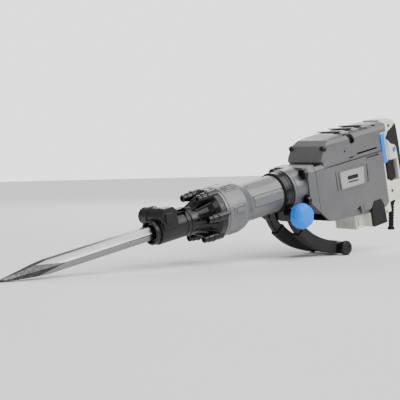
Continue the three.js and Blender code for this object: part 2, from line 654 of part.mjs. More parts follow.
function makeClampBand() {
  const band = turnedX(tube(clampBand.rearX, clampBand.frontX, clampBand.radius, 40.4), 36);
  const lug = (side) => box(clampAxis.x - 11, clampAxis.x + 11, side * 5, side * 25, clampAxis.z - 13, -38);
  const bore = turnedX(rod(-40, 10, 40.4), 36);
  const split = box(-40, 10, -5, 5, -60, -30);
  const boltHole = turnedY(rod(-40, 40, 6.3), clampAxis.x, clampAxis.z, 14);
  return cut(join(band, lug(1), lug(-1)), bore, split, boltHole);
}
add('handle_clamp_band', makeClampBand(), 'black');

function makeClampBolt() {
  const shank = turnedY(rod(-50, 74, 6), clampAxis.x, clampAxis.z, 14);
  const head = slabY(hexagon(18).map(([u, v]) => [u + clampAxis.x, v + clampAxis.z]), -57, -48);
  return join(shank, head);
}
add('clamp_bolt', makeClampBolt(), 'darkSteel');

// Six shallow lobes round a domed knob.
function makeKnob() {
  const profile = [
    [knob.innerY, 0], [knob.faceY, 0], [knob.faceY, 17], [knob.faceY - 4, 24.5], [knob.faceY - 11, knob.radius],
    [knob.innerY + 9, knob.radius], [knob.innerY + 3, 24], [knob.innerY, 17],
  ];
  const round = turnedY(profile, clampAxis.x, clampAxis.z, 24);
  const flats = [];
  for (let i = 0; i < 6; i += 1) {
    const angle = (i + 0.25) * Math.PI / 3;
    const scallop = turnedY(rod(knob.innerY - 5, knob.faceY + 5, 14), 0, 0, 12);
    flats.push(scallop.translate(clampAxis.x + 39.5 * Math.cos(angle), 0, clampAxis.z + 39.5 * Math.sin(angle)));
  }
  const hole = turnedY(rod(knob.innerY - 5, 76, 6.4), clampAxis.x, clampAxis.z, 14);
  return cut(round, ...flats, hole);
}
add('clamp_knob', makeKnob(), 'blue');

// The arms leave the clamp bolt downwards and bend back to the cross bar.
const armCurve = new THREE.QuadraticBezierCurve(
  new THREE.Vector2(clampAxis.x, clampAxis.z),
  new THREE.Vector2(sideHandle.bendX, sideHandle.bendZ),
  new THREE.Vector2(sideHandle.barX, sideHandle.barZ),
);
function armStrip(from, to, halfWide, steps) {
  const near = [];
  const far = [];
  for (let i = 0; i <= steps; i += 1) {
    const t = from + (to - from) * i / steps;
    const at = armCurve.getPoint(t);
    const dir = armCurve.getTangent(t);
    near.push([at.x - dir.y * halfWide, at.y + dir.x * halfWide]);
    far.push([at.x + dir.y * halfWide, at.y - dir.x * halfWide]);
  }
  return [...near, ...far.reverse()];
}
const gripStart = 0.27;
function makeArm(side) {
  const strap = slabY(armStrip(0, 1, 12, 12), 27, sideHandle.faceY - 3);
  const eyeTop = turnedY(rod(25.5, sideHandle.faceY - 1, 14.5), clampAxis.x, clampAxis.z, 20);
  const eyeLow = turnedY(rod(27, sideHandle.faceY - 1, 14.5), sideHandle.barX, sideHandle.barZ, 20);
  const boltHole = turnedY(rod(20, 60, 6.3), clampAxis.x, clampAxis.z, 14);
  const barHole = turnedY(rod(20, 60, 9.4), sideHandle.barX, sideHandle.barZ, 16);
  const bandRoom = turnedX(rod(-45, 20, clampBand.radius + 0.6), 32);
  const arm = cut(join(strap, eyeTop, eyeLow), boltHole, barHole, bandRoom);
  return side > 0 ? arm : mirrorY(arm);
}
function makeArmGrip(side) {
  const sleeve = slabY(armStrip(gripStart, 0.9, 15, 12), 24, sideHandle.faceY);
  const hollow = slabY(armStrip(gripStart - 0.05, 0.95, 12.4, 12), 26.7, sideHandle.faceY - 2.7);
  const shape = cut(sleeve, hollow);
  return side > 0 ? shape : mirrorY(shape);
}
for (const [name, side] of [['left', 1], ['right', -1]]) {
  add(`handle_arm_${name}`, makeArm(side), 'black');
  add(`arm_grip_${name}`, makeArmGrip(side), 'rubber');
}

// The cross bar is thick between the arms and turned down where it passes through them.
const crossBarProfile = [
  [-52, 0], [52, 0], [52, 9], [26.2, 9], [26.2, 15.5], [-26.2, 15.5], [-26.2, 9], [-52, 9],
];
add('handle_cross_bar', turnedY(crossBarProfile, sideHandle.barX, sideHandle.barZ, 16), 'rubber');
const capProfile = [
  [47.4, 9.4], [52.4, 9.4], [52.4, 0], [59, 0], [59, 14.5], [57.5, sideHandle.capRadius],
  [50, sideHandle.capRadius], [47.4, 15.5],
];
const endCap = turnedY(capProfile, sideHandle.barX, sideHandle.barZ, 16);
add('end_cap_left', endCap, 'black');
add('end_cap_right', mirrorY(endCap), 'black');

// ---- lay the tool down --------------------------------------------------------------------

// The ground touches the chisel's lower tip edge and the end caps of the side handle.
const tipToBar = new THREE.Vector2(chisel.tipX - sideHandle.barX, -chisel.tipHalf - sideHandle.barZ);
const restPitch = Math.atan2(tipToBar.y, tipToBar.x) + Math.asin(sideHandle.capRadius / tipToBar.length());
tool.rotation.y = restPitch;

// The origin is on the ground, under the middle of the tool's outer box.
const group = new THREE.Group();
group.add(tool);
group.updateMatrixWorld(true);
const outerBox = new THREE.Box3().setFromObject(tool, true);
const middle = outerBox.getCenter(new THREE.Vector3());
tool.position.set(-middle.x, -middle.y, -outerBox.min.z);
group.updateMatrixWorld(true);

export default group;
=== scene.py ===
import json
import math

import bmesh
import bpy
from mathutils import Matrix, Vector


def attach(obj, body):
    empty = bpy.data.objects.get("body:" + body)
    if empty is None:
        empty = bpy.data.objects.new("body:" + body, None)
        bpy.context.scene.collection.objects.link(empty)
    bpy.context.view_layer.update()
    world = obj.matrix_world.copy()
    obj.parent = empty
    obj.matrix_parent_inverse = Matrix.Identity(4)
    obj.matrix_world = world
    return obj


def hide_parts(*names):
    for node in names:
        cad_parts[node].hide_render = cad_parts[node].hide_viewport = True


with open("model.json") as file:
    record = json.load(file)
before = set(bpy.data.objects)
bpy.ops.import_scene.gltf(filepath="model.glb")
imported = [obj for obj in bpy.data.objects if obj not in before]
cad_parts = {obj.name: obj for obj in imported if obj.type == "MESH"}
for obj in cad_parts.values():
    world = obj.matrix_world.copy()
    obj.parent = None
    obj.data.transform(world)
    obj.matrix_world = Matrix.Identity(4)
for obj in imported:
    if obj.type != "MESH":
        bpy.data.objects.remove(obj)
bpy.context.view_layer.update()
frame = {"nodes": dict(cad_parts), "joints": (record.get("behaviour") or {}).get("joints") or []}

# The tool's own frame, found again from its joints: +X along the tool towards the chisel,
# +Y to its left, +Z up. Shapes below are drawn in it, in millimetres.
joints = {joint["name"]: joint for joint in frame["joints"]}
toolX = Vector(joints["chisel_slide"]["axis"]).normalized()
toolY = Vector(joints["retainer_turn"]["axis"]).normalized()
toolZ = toolX.cross(toolY).normalized()
noseX = 0.350
toolOrigin = Vector(joints["chisel_slide"]["pos_m"]) - toolX * noseX
toolMatrix = Matrix((toolX, toolY, toolZ)).transposed().to_4x4()
toolMatrix.translation = toolOrigin

# camera and lights

cameraSettings = {
    "place": (1664.76, 1832.38, 447.52),
    "right": (-0.7539, 0.6369, -0.1612),
    "down": (0.2347, 0.0319, -0.9715),
    "forward": (-0.6136, -0.7703, -0.1735),
    "lens": 100.9,
    "sensor": 36.0,
}


def makeCamera(settings):
    data = bpy.data.cameras.new("camera")
    data.lens = settings["lens"]
    data.sensor_width = settings["sensor"]
    data.clip_start = 0.05
    data.clip_end = 30
    camera = bpy.data.objects.new("camera", data)
    bpy.context.scene.collection.objects.link(camera)
    right, down, forward = (Vector(settings[key]) for key in ("right", "down", "forward"))
    turn = Matrix((right, -down, -forward)).transposed().to_4x4()
    turn.translation = Vector(settings["place"]) / 1000
    camera.matrix_world = toolMatrix @ turn
    bpy.context.scene.camera = camera
    return camera


makeCamera(cameraSettings)

lightSettings = {
    "keyPanel": {"place": (-1.3, 2.6, 1.7), "aim": (-0.15, 0, 0.15), "size": 1.3, "power": 48},
    "frontStrip": {"place": (2.6, 0.9, 0.9), "aim": (0.1, 0, 0.15), "size": 0.7, "power": 9},
    "backPanel": {"place": (-1.6, -1.9, 1.6), "aim": (-0.2, 0, 0.2), "size": 1.4, "power": 24},
}
skylight = {"from": (-0.35, 0.7, 1.4), "strength": 2.9, "softness": 60}
roomLight = {"strength": 0.42, "seen": 2.2}


def makeLights(settings, sky, room):
    for name, each in settings.items():
        data = bpy.data.lights.new(name, "AREA")
        data.shape = "SQUARE"
        data.size = each["size"]
        data.energy = each["power"]
        light = bpy.data.objects.new(name, data)
        light.location = each["place"]
        aim = Vector(each["aim"]) - Vector(each["place"])
        light.rotation_euler = aim.to_track_quat("-Z", "Y").to_euler()
        bpy.context.scene.collection.objects.link(light)
    data = bpy.data.lights.new("skylight", "SUN")
    data.energy = sky["strength"]
    data.angle = math.radians(sky["softness"])
    light = bpy.data.objects.new("skylight", data)
    light.rotation_euler = (-Vector(sky["from"])).to_track_quat("-Z", "Y").to_euler()
    bpy.context.scene.collection.objects.link(light)
    world = bpy.data.worlds.new("studio")
    bpy.context.scene.world = world
    world.use_nodes = True
    tree = world.node_tree
    background = tree.nodes["Background"]
    background.inputs["Color"].default_value = (1, 1, 1, 1)
    # the room is dimmer as a light than it looks behind the tool
    seen = tree.nodes.new("ShaderNodeLightPath").outputs["Is Camera Ray"]
    blend = tree.nodes.new("ShaderNodeMapRange")
    blend.inputs["To Min"].default_value = room["strength"]
    blend.inputs["To Max"].default_value = room["seen"]
    tree.links.new(seen, blend.inputs["Value"])
    tree.links.new(blend.outputs[0], background.inputs["Strength"])


makeLights(lightSettings, skylight, roomLight)
print("camera and lights are set")

# shader groups and materials


def makeGroup(name, inputs, outputs):
    tree = bpy.data.node_groups.new(name, "ShaderNodeTree")
    for label, default in inputs:
        socket = tree.interface.new_socket(label, in_out="INPUT", socket_type="NodeSocketFloat")
        socket.default_value = default
    for label in outputs:
        tree.interface.new_socket(label, in_out="OUTPUT", socket_type="NodeSocketFloat")
    return tree, tree.nodes.new("NodeGroupInput"), tree.nodes.new("NodeGroupOutput")


def addNode(tree, kind, links=(), **values):
    # links are pairs: a socket of this node, and the socket or value that it takes
    node = tree.nodes.new(kind)
    for key, value in values.items():
        setattr(node, key, value)
    for own, source in links:
        if isinstance(source, (int, float, tuple)):
            node.inputs[own].default_value = source
        else:
            tree.links.new(source, node.inputs[own])
    return node


def mathNode(tree, operation, first, second=None, clamp=False):
    links = [(0, first)] if second is None else [(0, first), (1, second)]
    return addNode(tree, "ShaderNodeMath", links, operation=operation, use_clamp=clamp).outputs[0]


def noiseOn(tree, spot, scale, detail=2):
    links = [("Vector", spot), ("Scale", scale), ("Detail", detail)]
    return addNode(tree, "ShaderNodeTexNoise", links).outputs["Fac"]


def fitRange(tree, value, low, high, toLow=0, toHigh=1):
    links = [("Value", value), ("From Min", low), ("From Max", high), ("To Min", toLow), ("To Max", toHigh)]
    return addNode(tree, "ShaderNodeMapRange", links).outputs[0]


def makeGrainGroup():
    # moulded or cast skin: fine grain, slow mottle, and a patchy gloss
    tree, entry, result = makeGroup(
        "surfaceGrain",
        [("Grain Scale", 900), ("Mottle Scale", 14), ("Contrast", 1)],
        ["Height", "Mottle", "Gloss"],
    )
    fine, slow, contrast = entry.outputs[:3]
    spot = addNode(tree, "ShaderNodeTexCoord").outputs["Object"]
    centred = mathNode(tree, "SUBTRACT", noiseOn(tree, spot, slow, 5), 0.5)
    patches = mathNode(tree, "MULTIPLY", centred, mathNode(tree, "MULTIPLY", contrast, 2.4))
    gloss = noiseOn(tree, spot, mathNode(tree, "MULTIPLY", slow, 4.3))
    tree.links.new(noiseOn(tree, spot, fine, 3), result.inputs["Height"])
    tree.links.new(mathNode(tree, "ADD", patches, 0.5, clamp=True), result.inputs["Mottle"])
    tree.links.new(gloss, result.inputs["Gloss"])
    return tree


def makeWearGroup():
    # rubbed edges: where the surface turns sharply, broken up by noise
    tree, entry, result = makeGroup("edgeWear", [("Amount", 0.5), ("Break Up", 160)], ["Wear"])
    amount, breakUp = entry.outputs[:2]
    spot = addNode(tree, "ShaderNodeTexCoord").outputs["Object"]
    point = addNode(tree, "ShaderNodeNewGeometry").outputs["Pointiness"]
    edge = fitRange(tree, point, 0.53, 0.62)
    broken = fitRange(tree, noiseOn(tree, spot, breakUp, 4), 0.42, 0.62)
    both = mathNode(tree, "MULTIPLY", edge, broken)
    tree.links.new(mathNode(tree, "MULTIPLY", both, amount, clamp=True), result.inputs["Wear"])
    return tree


def makeDustGroup():
    # a thin film of site dust on what faces up
    tree, entry, result = makeGroup("dustFilm", [("Amount", 0.3), ("Patch Scale", 22)], ["Dust"])
    amount, patchScale = entry.outputs[:2]
    spot = addNode(tree, "ShaderNodeTexCoord").outputs["Object"]
    normal = addNode(tree, "ShaderNodeNewGeometry").outputs["Normal"]
    upward = addNode(tree, "ShaderNodeSeparateXYZ", [(0, normal)]).outputs["Z"]
    facing = fitRange(tree, upward, 0.35, 1)
    patch = mathNode(tree, "MULTIPLY", facing, noiseOn(tree, spot, patchScale, 6))
    tree.links.new(mathNode(tree, "MULTIPLY", patch, amount, clamp=True), result.inputs["Dust"])
    return tree


def dotWith(tree, vector, axis):
    links = [(0, vector), (1, tuple(axis))]
    return addNode(tree, "ShaderNodeVectorMath", links, operation="DOT_PRODUCT").outputs["Value"]


def makeBrushGroup():
    # lines left by grinding along the bar
    tree, entry, result = makeGroup("grindLines", [("Fineness", 1400), ("Stretch", 0.02)], ["Lines"])
    fineness, stretch = entry.outputs[:2]
    spot = addNode(tree, "ShaderNodeTexCoord").outputs["Object"]
    along, across, up = (
        mathNode(tree, "SUBTRACT", dotWith(tree, spot, axis), toolOrigin.dot(axis))
        for axis in (toolX, toolY, toolZ)
    )
    drawn = addNode(
        tree,
        "ShaderNodeCombineXYZ",
        [(0, mathNode(tree, "MULTIPLY", along, stretch)), (1, across), (2, up)],
    )
    tree.links.new(noiseOn(tree, drawn.outputs[0], fineness), result.inputs["Lines"])
    return tree


groups = {
    "grain": makeGrainGroup(),
    "wear": makeWearGroup(),
    "dust": makeDustGroup(),
    "brush": makeBrushGroup(),
}


def useGroup(tree, kind, **values):
    node = tree.nodes.new("ShaderNodeGroup")
    node.node_tree = groups[kind]
    for label, value in values.items():
        node.inputs[label.replace("_", " ")].default_value = value
    return node


def mixColour(tree, mask, first, second):
    node = tree.nodes.new("ShaderNodeMix")
    node.data_type = "RGBA"
    tree.links.new(mask, node.inputs["Factor"])
    for index, colour in ((6, first), (7, second)):
        if isinstance(colour, tuple):
            node.inputs[index].default_value = (*colour, 1)
        else:
            tree.links.new(colour, node.inputs[index])
    return node.outputs[2]


def forgedMask(tree):
    # the faces of the point are black from the forge: they are the ones that lean towards the tip
    normal = addNode(tree, "ShaderNodeNewGeometry").outputs["True Normal"]
    spot = addNode(tree, "ShaderNodeTexCoord").outputs["Object"]
    uneven = mathNode(tree, "MULTIPLY", noiseOn(tree, spot, 140), 0.03)
    return fitRange(tree, mathNode(tree, "ADD", dotWith(tree, normal, toolX), uneven), 0.05, 0.085)


dustColour = (0.62, 0.6, 0.56)


def makeMaterial(name, look):
    material = bpy.data.materials.new(name)
    material.use_nodes = True
    tree = material.node_tree
    shader = tree.nodes["Principled BSDF"]
    shader.inputs["Metallic"].default_value = look.get("metallic", 0)
    shader.inputs["Specular IOR Level"].default_value = look.get("specular", 0.5)
    grain = useGroup(
        tree,
        "grain",
        Grain_Scale=look.get("grain", 900),
        Mottle_Scale=look.get("mottle", 14),
        Contrast=look.get("contrast", 1),
    )
    colour = mixColour(tree, grain.outputs["Mottle"], look["dark"], look["light"])
    height = grain.outputs["Height"]
    if "brush" in look:
        lines = useGroup(tree, "brush", Fineness=look["brush"], Stretch=look.get("stretch", 0.02))
        colour = mixColour(tree, lines.outputs["Lines"], colour, look["lines"])
        height = mathNode(tree, "ADD", height, lines.outputs["Lines"])
    if "forged" in look:
        colour = mixColour(tree, forgedMask(tree), colour, look["forged"])
    if "wear" in look:
        wear = useGroup(tree, "wear", Amount=look["wear"])
        colour = mixColour(tree, wear.outputs["Wear"], colour, look["worn"])
    if "dust" in look:
        dust = useGroup(tree, "dust", Amount=look["dust"])
        colour = mixColour(tree, dust.outputs["Dust"], colour, dustColour)
    tree.links.new(colour, shader.inputs["Base Color"])
    rough = fitRange(tree, grain.outputs["Gloss"], 0, 1, *look["rough"])
    tree.links.new(rough, shader.inputs["Roughness"])
    bump = addNode(tree, "ShaderNodeBump", [("Height", height)])
    bump.inputs["Strength"].default_value = look.get("bump", 0.1)
    bump.inputs["Distance"].default_value = look.get("depth", 0.0004)
    tree.links.new(bump.outputs[0], shader.inputs["Normal"])
    return material


looks = {
    "greyPaint": {
        "slot": "grey_casting", "dark": (0.135, 0.137, 0.142), "light": (0.168, 0.17, 0.176),
        "rough": (0.26, 0.42), "metallic": 0.3, "grain": 1500, "bump": 0.08, "wear": 0.35,
        "worn": (0.42, 0.42, 0.43), "dust": 0.06,
    },
    "housingPaint": {
        "slot": "grey_casting", "dark": (0.115, 0.117, 0.122), "light": (0.145, 0.147, 0.152),
        "rough": (0.28, 0.42), "metallic": 0.25, "grain": 1500, "bump": 0.08, "wear": 0.3,
        "worn": (0.4, 0.4, 0.41), "dust": 0.05,
    },
    "panelPaint": {
        "slot": "grey_casting", "dark": (0.1, 0.101, 0.105), "light": (0.125, 0.126, 0.13),
        "rough": (0.34, 0.48), "metallic": 0.1, "grain": 1700, "bump": 0.14, "wear": 0.25,
        "worn": (0.38, 0.38, 0.39), "dust": 0.05,
    },
    "castBlack": {
        "slot": "black_casting", "dark": (0.0022, 0.0022, 0.0025), "light": (0.005, 0.005, 0.0055),
        "rough": (0.2, 0.34), "grain": 700, "bump": 0.25, "depth": 0.0005, "wear": 0.1,
        "worn": (0.03, 0.03, 0.032), "specular": 0.36,
    },
    "gunMetal": {
        "slot": "black_casting", "dark": (0.008, 0.008, 0.0085), "light": (0.016, 0.016, 0.017),
        "rough": (0.28, 0.42), "metallic": 0.2, "grain": 800, "bump": 0.2, "wear": 0.25,
        "worn": (0.07, 0.07, 0.072), "specular": 0.36,
    },
    "blackPlastic": {
        "slot": "black_plastic", "dark": (0.0035, 0.0035, 0.004), "light": (0.007, 0.007, 0.0075),
        "rough": (0.34, 0.5), "grain": 1600, "bump": 0.2, "wear": 0.2, "worn": (0.03, 0.03, 0.032),
        "specular": 0.3,
    },
    "rubber": {
        "slot": "black_rubber", "dark": (0.005, 0.005, 0.0055), "light": (0.01, 0.01, 0.0105),
        "rough": (0.6, 0.8), "grain": 1300, "bump": 0.3, "dust": 0.008, "specular": 0.22,
    },
    "gripRubber": {
        "slot": "black_rubber", "dark": (0.009, 0.009, 0.0095), "light": (0.016, 0.016, 0.0165),
        "rough": (0.5, 0.68), "grain": 1300, "bump": 0.3, "dust": 0.01, "specular": 0.26,
    },
    "creamPlastic": {
        "slot": "cream_plastic", "dark": (0.66, 0.625, 0.55), "light": (0.76, 0.735, 0.67),
        "rough": (0.36, 0.5), "grain": 1600, "bump": 0.15, "wear": 0.15, "worn": (0.5, 0.48, 0.44),
        "dust": 0.03,
    },
    "bluePlastic": {
        "slot": "blue_plastic", "dark": (0.002, 0.165, 0.76), "light": (0.004, 0.225, 0.92),
        "rough": (0.32, 0.44), "grain": 1400, "bump": 0.1, "wear": 0.1, "worn": (0.05, 0.34, 0.9),
        "specular": 0.25,
    },
    "brightSteel": {
        "dark": (0.5, 0.505, 0.51), "light": (0.66, 0.665, 0.67), "rough": (0.2, 0.34), "metallic": 1,
        "brush": 1500, "stretch": 0.015, "lines": (0.45, 0.455, 0.46), "grain": 500, "bump": 0.12,
    },
    "chiselSteel": {
        "slot": "bright_steel", "dark": (0.27, 0.273, 0.28), "light": (0.36, 0.363, 0.37),
        "rough": (0.22, 0.34), "metallic": 1, "brush": 260, "stretch": 0.006,
        "lines": (0.17, 0.172, 0.178), "grain": 400, "bump": 0.03, "forged": (0.05, 0.05, 0.052),
        "wear": 0.2, "worn": (0.45, 0.45, 0.46),
    },
    "darkSteel": {
        "dark": (0.05, 0.05, 0.053), "light": (0.085, 0.085, 0.09), "rough": (0.24, 0.4),
        "metallic": 0.9, "grain": 900, "bump": 0.12, "wear": 0.6, "worn": (0.4, 0.4, 0.42),
    },
    "boltBlack": {
        "slot": "dark_steel", "dark": (0.004, 0.004, 0.0045), "light": (0.008, 0.008, 0.009),
        "rough": (0.22, 0.38), "metallic": 0.2, "grain": 900, "bump": 0.12, "wear": 0.15,
        "worn": (0.08, 0.08, 0.083), "specular": 0.45,
    },
    "plateSheet": {
        "slot": "light_plate", "dark": (0.36, 0.362, 0.366), "light": (0.42, 0.422, 0.426),
        "rough": (0.3, 0.42), "metallic": 0.4, "brush": 1800, "lines": (0.38, 0.382, 0.386),
        "grain": 900, "bump": 0.05,
    },
    "copperWinding": {
        "dark": (0.33, 0.13, 0.06), "light": (0.5, 0.22, 0.11), "rough": (0.28, 0.42), "metallic": 0.9,
        "grain": 600, "bump": 0.3,
    },
    "paleFloor": {
        "dark": (0.86, 0.86, 0.86), "light": (0.9, 0.9, 0.9), "rough": (0.6, 0.75), "grain": 300,
        "mottle": 2, "bump": 0.02, "contrast": 0.4,
    },
}
materials = {name: makeMaterial(name, look) for name, look in looks.items()}
print("materials are made")

# mesh helpers, all in millimetres in the tool's frame


def toObject(mesh):
    data = bpy.data.meshes.new("shape")
    bmesh.ops.recalc_face_normals(mesh, faces=mesh.faces)
    mesh.to_mesh(data)
    mesh.free()
    shape = bpy.data.objects.new("shape", data)
    bpy.context.scene.collection.objects.link(shape)
    return shape


def rounded(corners, radius=2.0, steps=4):
    # a corner is (u, v), or (u, v, its own radius)
    result = []
    count = len(corners)
    for i, corner in enumerate(corners):
        here = Vector(corner[:2])
        before = Vector(corners[i - 1][:2]) - here
        after = Vector(corners[(i + 1) % count][:2]) - here
        own = corner[2] if len(corner) > 2 else radius
        turn = before.angle(after) if before.length * after.length else math.pi
        if own <= 0 or turn > math.pi - 0.03:
            result.append(tuple(here))
            continue
        reach = min(own / math.tan(turn / 2), before.length * 0.49, after.length * 0.49)
        start = here + before.normalized() * reach
        end = here + after.normalized() * reach
        middle = (before.normalized() + after.normalized()).normalized()
        centre = here + middle * (reach / math.cos(turn / 2))
        first = math.atan2(start.y - centre.y, start.x - centre.x)
        last = math.atan2(end.y - centre.y, end.x - centre.x)
        sweep = (last - first + math.pi) % (2 * math.pi) - math.pi
        size = (start - centre).length
        for k in range(steps + 1):
            angle = first + sweep * k / steps
            result.append((centre.x + size * math.cos(angle), centre.y + size * math.sin(angle)))
    return result


def rectangle(u0, u1, v0, v1, radius=2.0, steps=4):
    return rounded([(u0, v0), (u1, v0), (u1, v1), (u0, v1)], radius, steps)


# where an outline's (u, v) and the distance w along an axis lie in space
spread = {
    "x": lambda u, v, w: (w, u, v),
    "y": lambda u, v, w: (u, w, v),
    "z": lambda u, v, w: (u, v, w),
}


def prism(outline, axis, low, high):
    mesh = bmesh.new()
    ends = [[mesh.verts.new(spread[axis](u, v, w)) for u, v in outline] for w in (low, high)]
    mesh.faces.new(ends[0])
    mesh.faces.new(ends[1])
    for i in range(len(outline)):
        j = (i + 1) % len(outline)
        mesh.faces.new((ends[0][i], ends[0][j], ends[1][j], ends[1][i]))
    return toObject(mesh)


def block(x0, x1, y0, y1, z0, z1):
    return prism([(x0, y0), (x1, y0), (x1, y1), (x0, y1)], "z", z0, z1)


def loft(rings):
    mesh = bmesh.new()
    made = [[mesh.verts.new(point) for point in ring] for ring in rings]
    count = len(rings[0])
    for one, two in zip(made, made[1:]):
        for i in range(count):
            j = (i + 1) % count
            mesh.faces.new((one[i], one[j], two[j], two[i]))
    mesh.faces.new(made[0])
    mesh.faces.new(made[-1])
    return toObject(mesh)


def turned(profile, axis="x", at=(0, 0), segments=64, radiusAt=None):
    # the profile is a closed outline of (along, radius), turned round an axis through `at`
    mesh = bmesh.new()
    rings = []
    for along, radius in profile:
        if radius == 0:
            rings.append([mesh.verts.new(place(axis, along, 0, 0, at))])
            continue
        ring = []
        for k in range(segments):
            angle = 2 * math.pi * k / segments
            size = radiusAt(radius, angle) if radiusAt else radius
            point = place(axis, along, size * math.cos(angle), size * math.sin(angle), at)
            ring.append(mesh.verts.new(point))
        rings.append(ring)
    for i, one in enumerate(rings):
        two = rings[(i + 1) % len(rings)]
        for k in range(segments):
            j = (k + 1) % segments
            if len(one) > 1 and len(two) > 1:
                mesh.faces.new((one[k], one[j], two[j], two[k]))
            elif len(one) > 1:
                mesh.faces.new((one[k], one[j], two[0]))
            elif len(two) > 1:
                mesh.faces.new((one[0], two[j], two[k]))
    return toObject(mesh)


def place(axis, along, a, b, at):
    if axis == "x":
        return (along, at[0] + a, at[1] + b)
    if axis == "y":
        return (at[0] + a, along, at[1] + b)
    return (at[0] + a, at[1] + b, along)


def rod(low, high, radius, soft=0.0):
    if soft:
        return rounded([(low, 0, 0), (low, radius, soft), (high, radius, soft), (high, 0, 0)])
    return [(low, 0), (low, radius), (high, radius), (high, 0)]


def tube(low, high, outer, inner, soft=0.0):
    corners = [(low, inner), (low, outer), (high, outer), (high, inner)]
    return rounded(corners, soft) if soft else corners


def combine(operation, target, tools):
    for tool in tools:
        modifier = target.modifiers.new("combine", "BOOLEAN")
        modifier.operation = operation
        modifier.solver = "EXACT"
        modifier.object = tool
    bpy.context.view_layer.update()
    graph = bpy.context.evaluated_depsgraph_get()
    shaped = bpy.data.meshes.new_from_object(target.evaluated_get(graph))
    target.modifiers.clear()
    target.data = shaped
    for tool in tools:
        bpy.data.objects.remove(tool)
    return target


def join(target, *tools):
    return combine("UNION", target, tools)


def cut(target, *tools):
    return combine("DIFFERENCE", target, tools)


def keep(target, *tools):
    return combine("INTERSECT", target, tools)


def copyOf(shape):
    twin = bpy.data.objects.new("shape", shape.data.copy())
    bpy.context.scene.collection.objects.link(twin)
    return twin


def moved(shape, matrix):
    shape.data.transform(matrix)
    if matrix.determinant() < 0:
        shape.data.flip_normals()
    return shape


def mirrored(shape):
    return moved(copyOf(shape), Matrix.Diagonal((1, -1, 1, 1)))


def halves(shape, seam=0.3):
    # the left and right half, with a fine joint between them
    left = keep(copyOf(shape), block(-600, 200, seam / 2, 120, -250, 250))
    right = keep(shape, block(-600, 200, -120, -seam / 2, -250, 250))
    return left, right


def hexagon(acrossFlats, turn=0.0, at=(0, 0)):
    size = acrossFlats / math.sqrt(3)
    angles = [math.pi * (k + turn) / 3 for k in range(6)]
    return [(at[0] + size * math.cos(a), at[1] + size * math.sin(a)) for a in angles]


def clean(shape, flat):
    # flat faces are merged into one, which is left out where an opening goes through them
    mesh = bmesh.new()
    mesh.from_mesh(shape.data)
    bmesh.ops.remove_doubles(mesh, verts=mesh.verts, dist=0.02)
    bmesh.ops.dissolve_degenerate(mesh, edges=mesh.edges, dist=0.02)
    if flat:
        bend = math.radians(0.6)
        bmesh.ops.dissolve_limit(mesh, angle_limit=bend, verts=mesh.verts, edges=mesh.edges)
    else:
        bmesh.ops.triangulate(mesh, faces=mesh.faces)
    mesh.to_mesh(shape.data)
    mesh.free()


def makePiece(
    name, shape, material, nodes=(), body="machine", slotName=None, edge=0.7, segments=2, limit=32, flat=True
):
    # softens a shape and puts it in its body, in place of its CAD nodes
    slotName = slotName or looks[material]["slot"]
    clean(shape, flat)
    shape.data.transform(toolMatrix @ Matrix.Scale(0.001, 4))
    shape.data.materials.clear()
    shape.data.materials.append(materials[material])
    for polygon in shape.data.polygons:
        polygon.material_index = 0
        polygon.use_smooth = True
    shape.name = name
    shape.data.name = name
    if edge:
        bevel = shape.modifiers.new("softEdges", "BEVEL")
        bevel.width = edge / 1000
        bevel.segments = segments
        bevel.limit_method = "ANGLE"
        bevel.angle_limit = math.radians(limit)
        bevel.use_clamp_overlap = False
        bevel.miter_outer = "MITER_ARC"
    weighted = shape.modifiers.new("evenShading", "WEIGHTED_NORMAL")
    weighted.keep_sharp = True
    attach(shape, body)
    if nodes:
        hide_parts(*nodes)


def makePair(label, left, material, node=None, number="", **rest):
    # the right piece is the mirror image of the left one
    for word, shape in (("Left", left), ("Right", mirrored(left))):
        nodes = [f"{node}_{word.lower()}"] if node else []
        makePiece(f"{label}{word}{number}", shape, material, nodes, **rest)


def keepNodes(material, *nodes):
    for node in nodes:
        piece = frame["nodes"][node]
        piece.data.materials.clear()
        piece.data.materials.append(materials[material])


# chisel

chiselShape = {
    "tail": 226, "tip": 704, "flats": 28.6, "edge": 1.6,
    "wideFrom": 565, "wide": 16.5, "tallFrom": 602, "tall": 14.3, "tipHalf": 2.6,
    "notchRear": 310.4, "notchFront": 327.6, "notchFloor": 11.4, "travel": 25,
}


def makeChisel(s):
    bar = prism(rounded(hexagon(s["flats"]), s["edge"], 3), "x", s["tail"], s["tip"])
    # four faces drawn down to the tip: the two flanks start further back than the top and bottom
    wide = (s["wide"] - s["tipHalf"]) / (s["tip"] - s["wideFrom"])
    tall = (s["tall"] - s["tipHalf"]) / (s["tip"] - s["tallFrom"])
    ends = []
    for x in (s["tail"] - 20, s["tip"] + 0.1):
        y = s["tipHalf"] + wide * (s["tip"] - x)
        z = s["tipHalf"] + tall * (s["tip"] - x)
        ends.append([(x, y, z), (x, -y, z), (x, -y, -z), (x, y, -z)])
    notch = block(s["notchRear"], s["notchFront"] + s["travel"], -20, 20, s["notchFloor"], 20)
    return cut(keep(bar, loft(ends)), notch)


makePiece("chiselBar", makeChisel(chiselShape), "chiselSteel", ["chisel"], body="chisel", edge=0, limit=5)
print("chisel is made")

# tool holder and its cross pin

holderShape = {"rear": 258, "front": 350, "radius": 29.5, "boss": 19.3, "bore": 21.9, "pinBore": 15.4}
crossPin = {"x": 319, "z": 27, "radius": 18.7, "stem": 15, "far": -50}


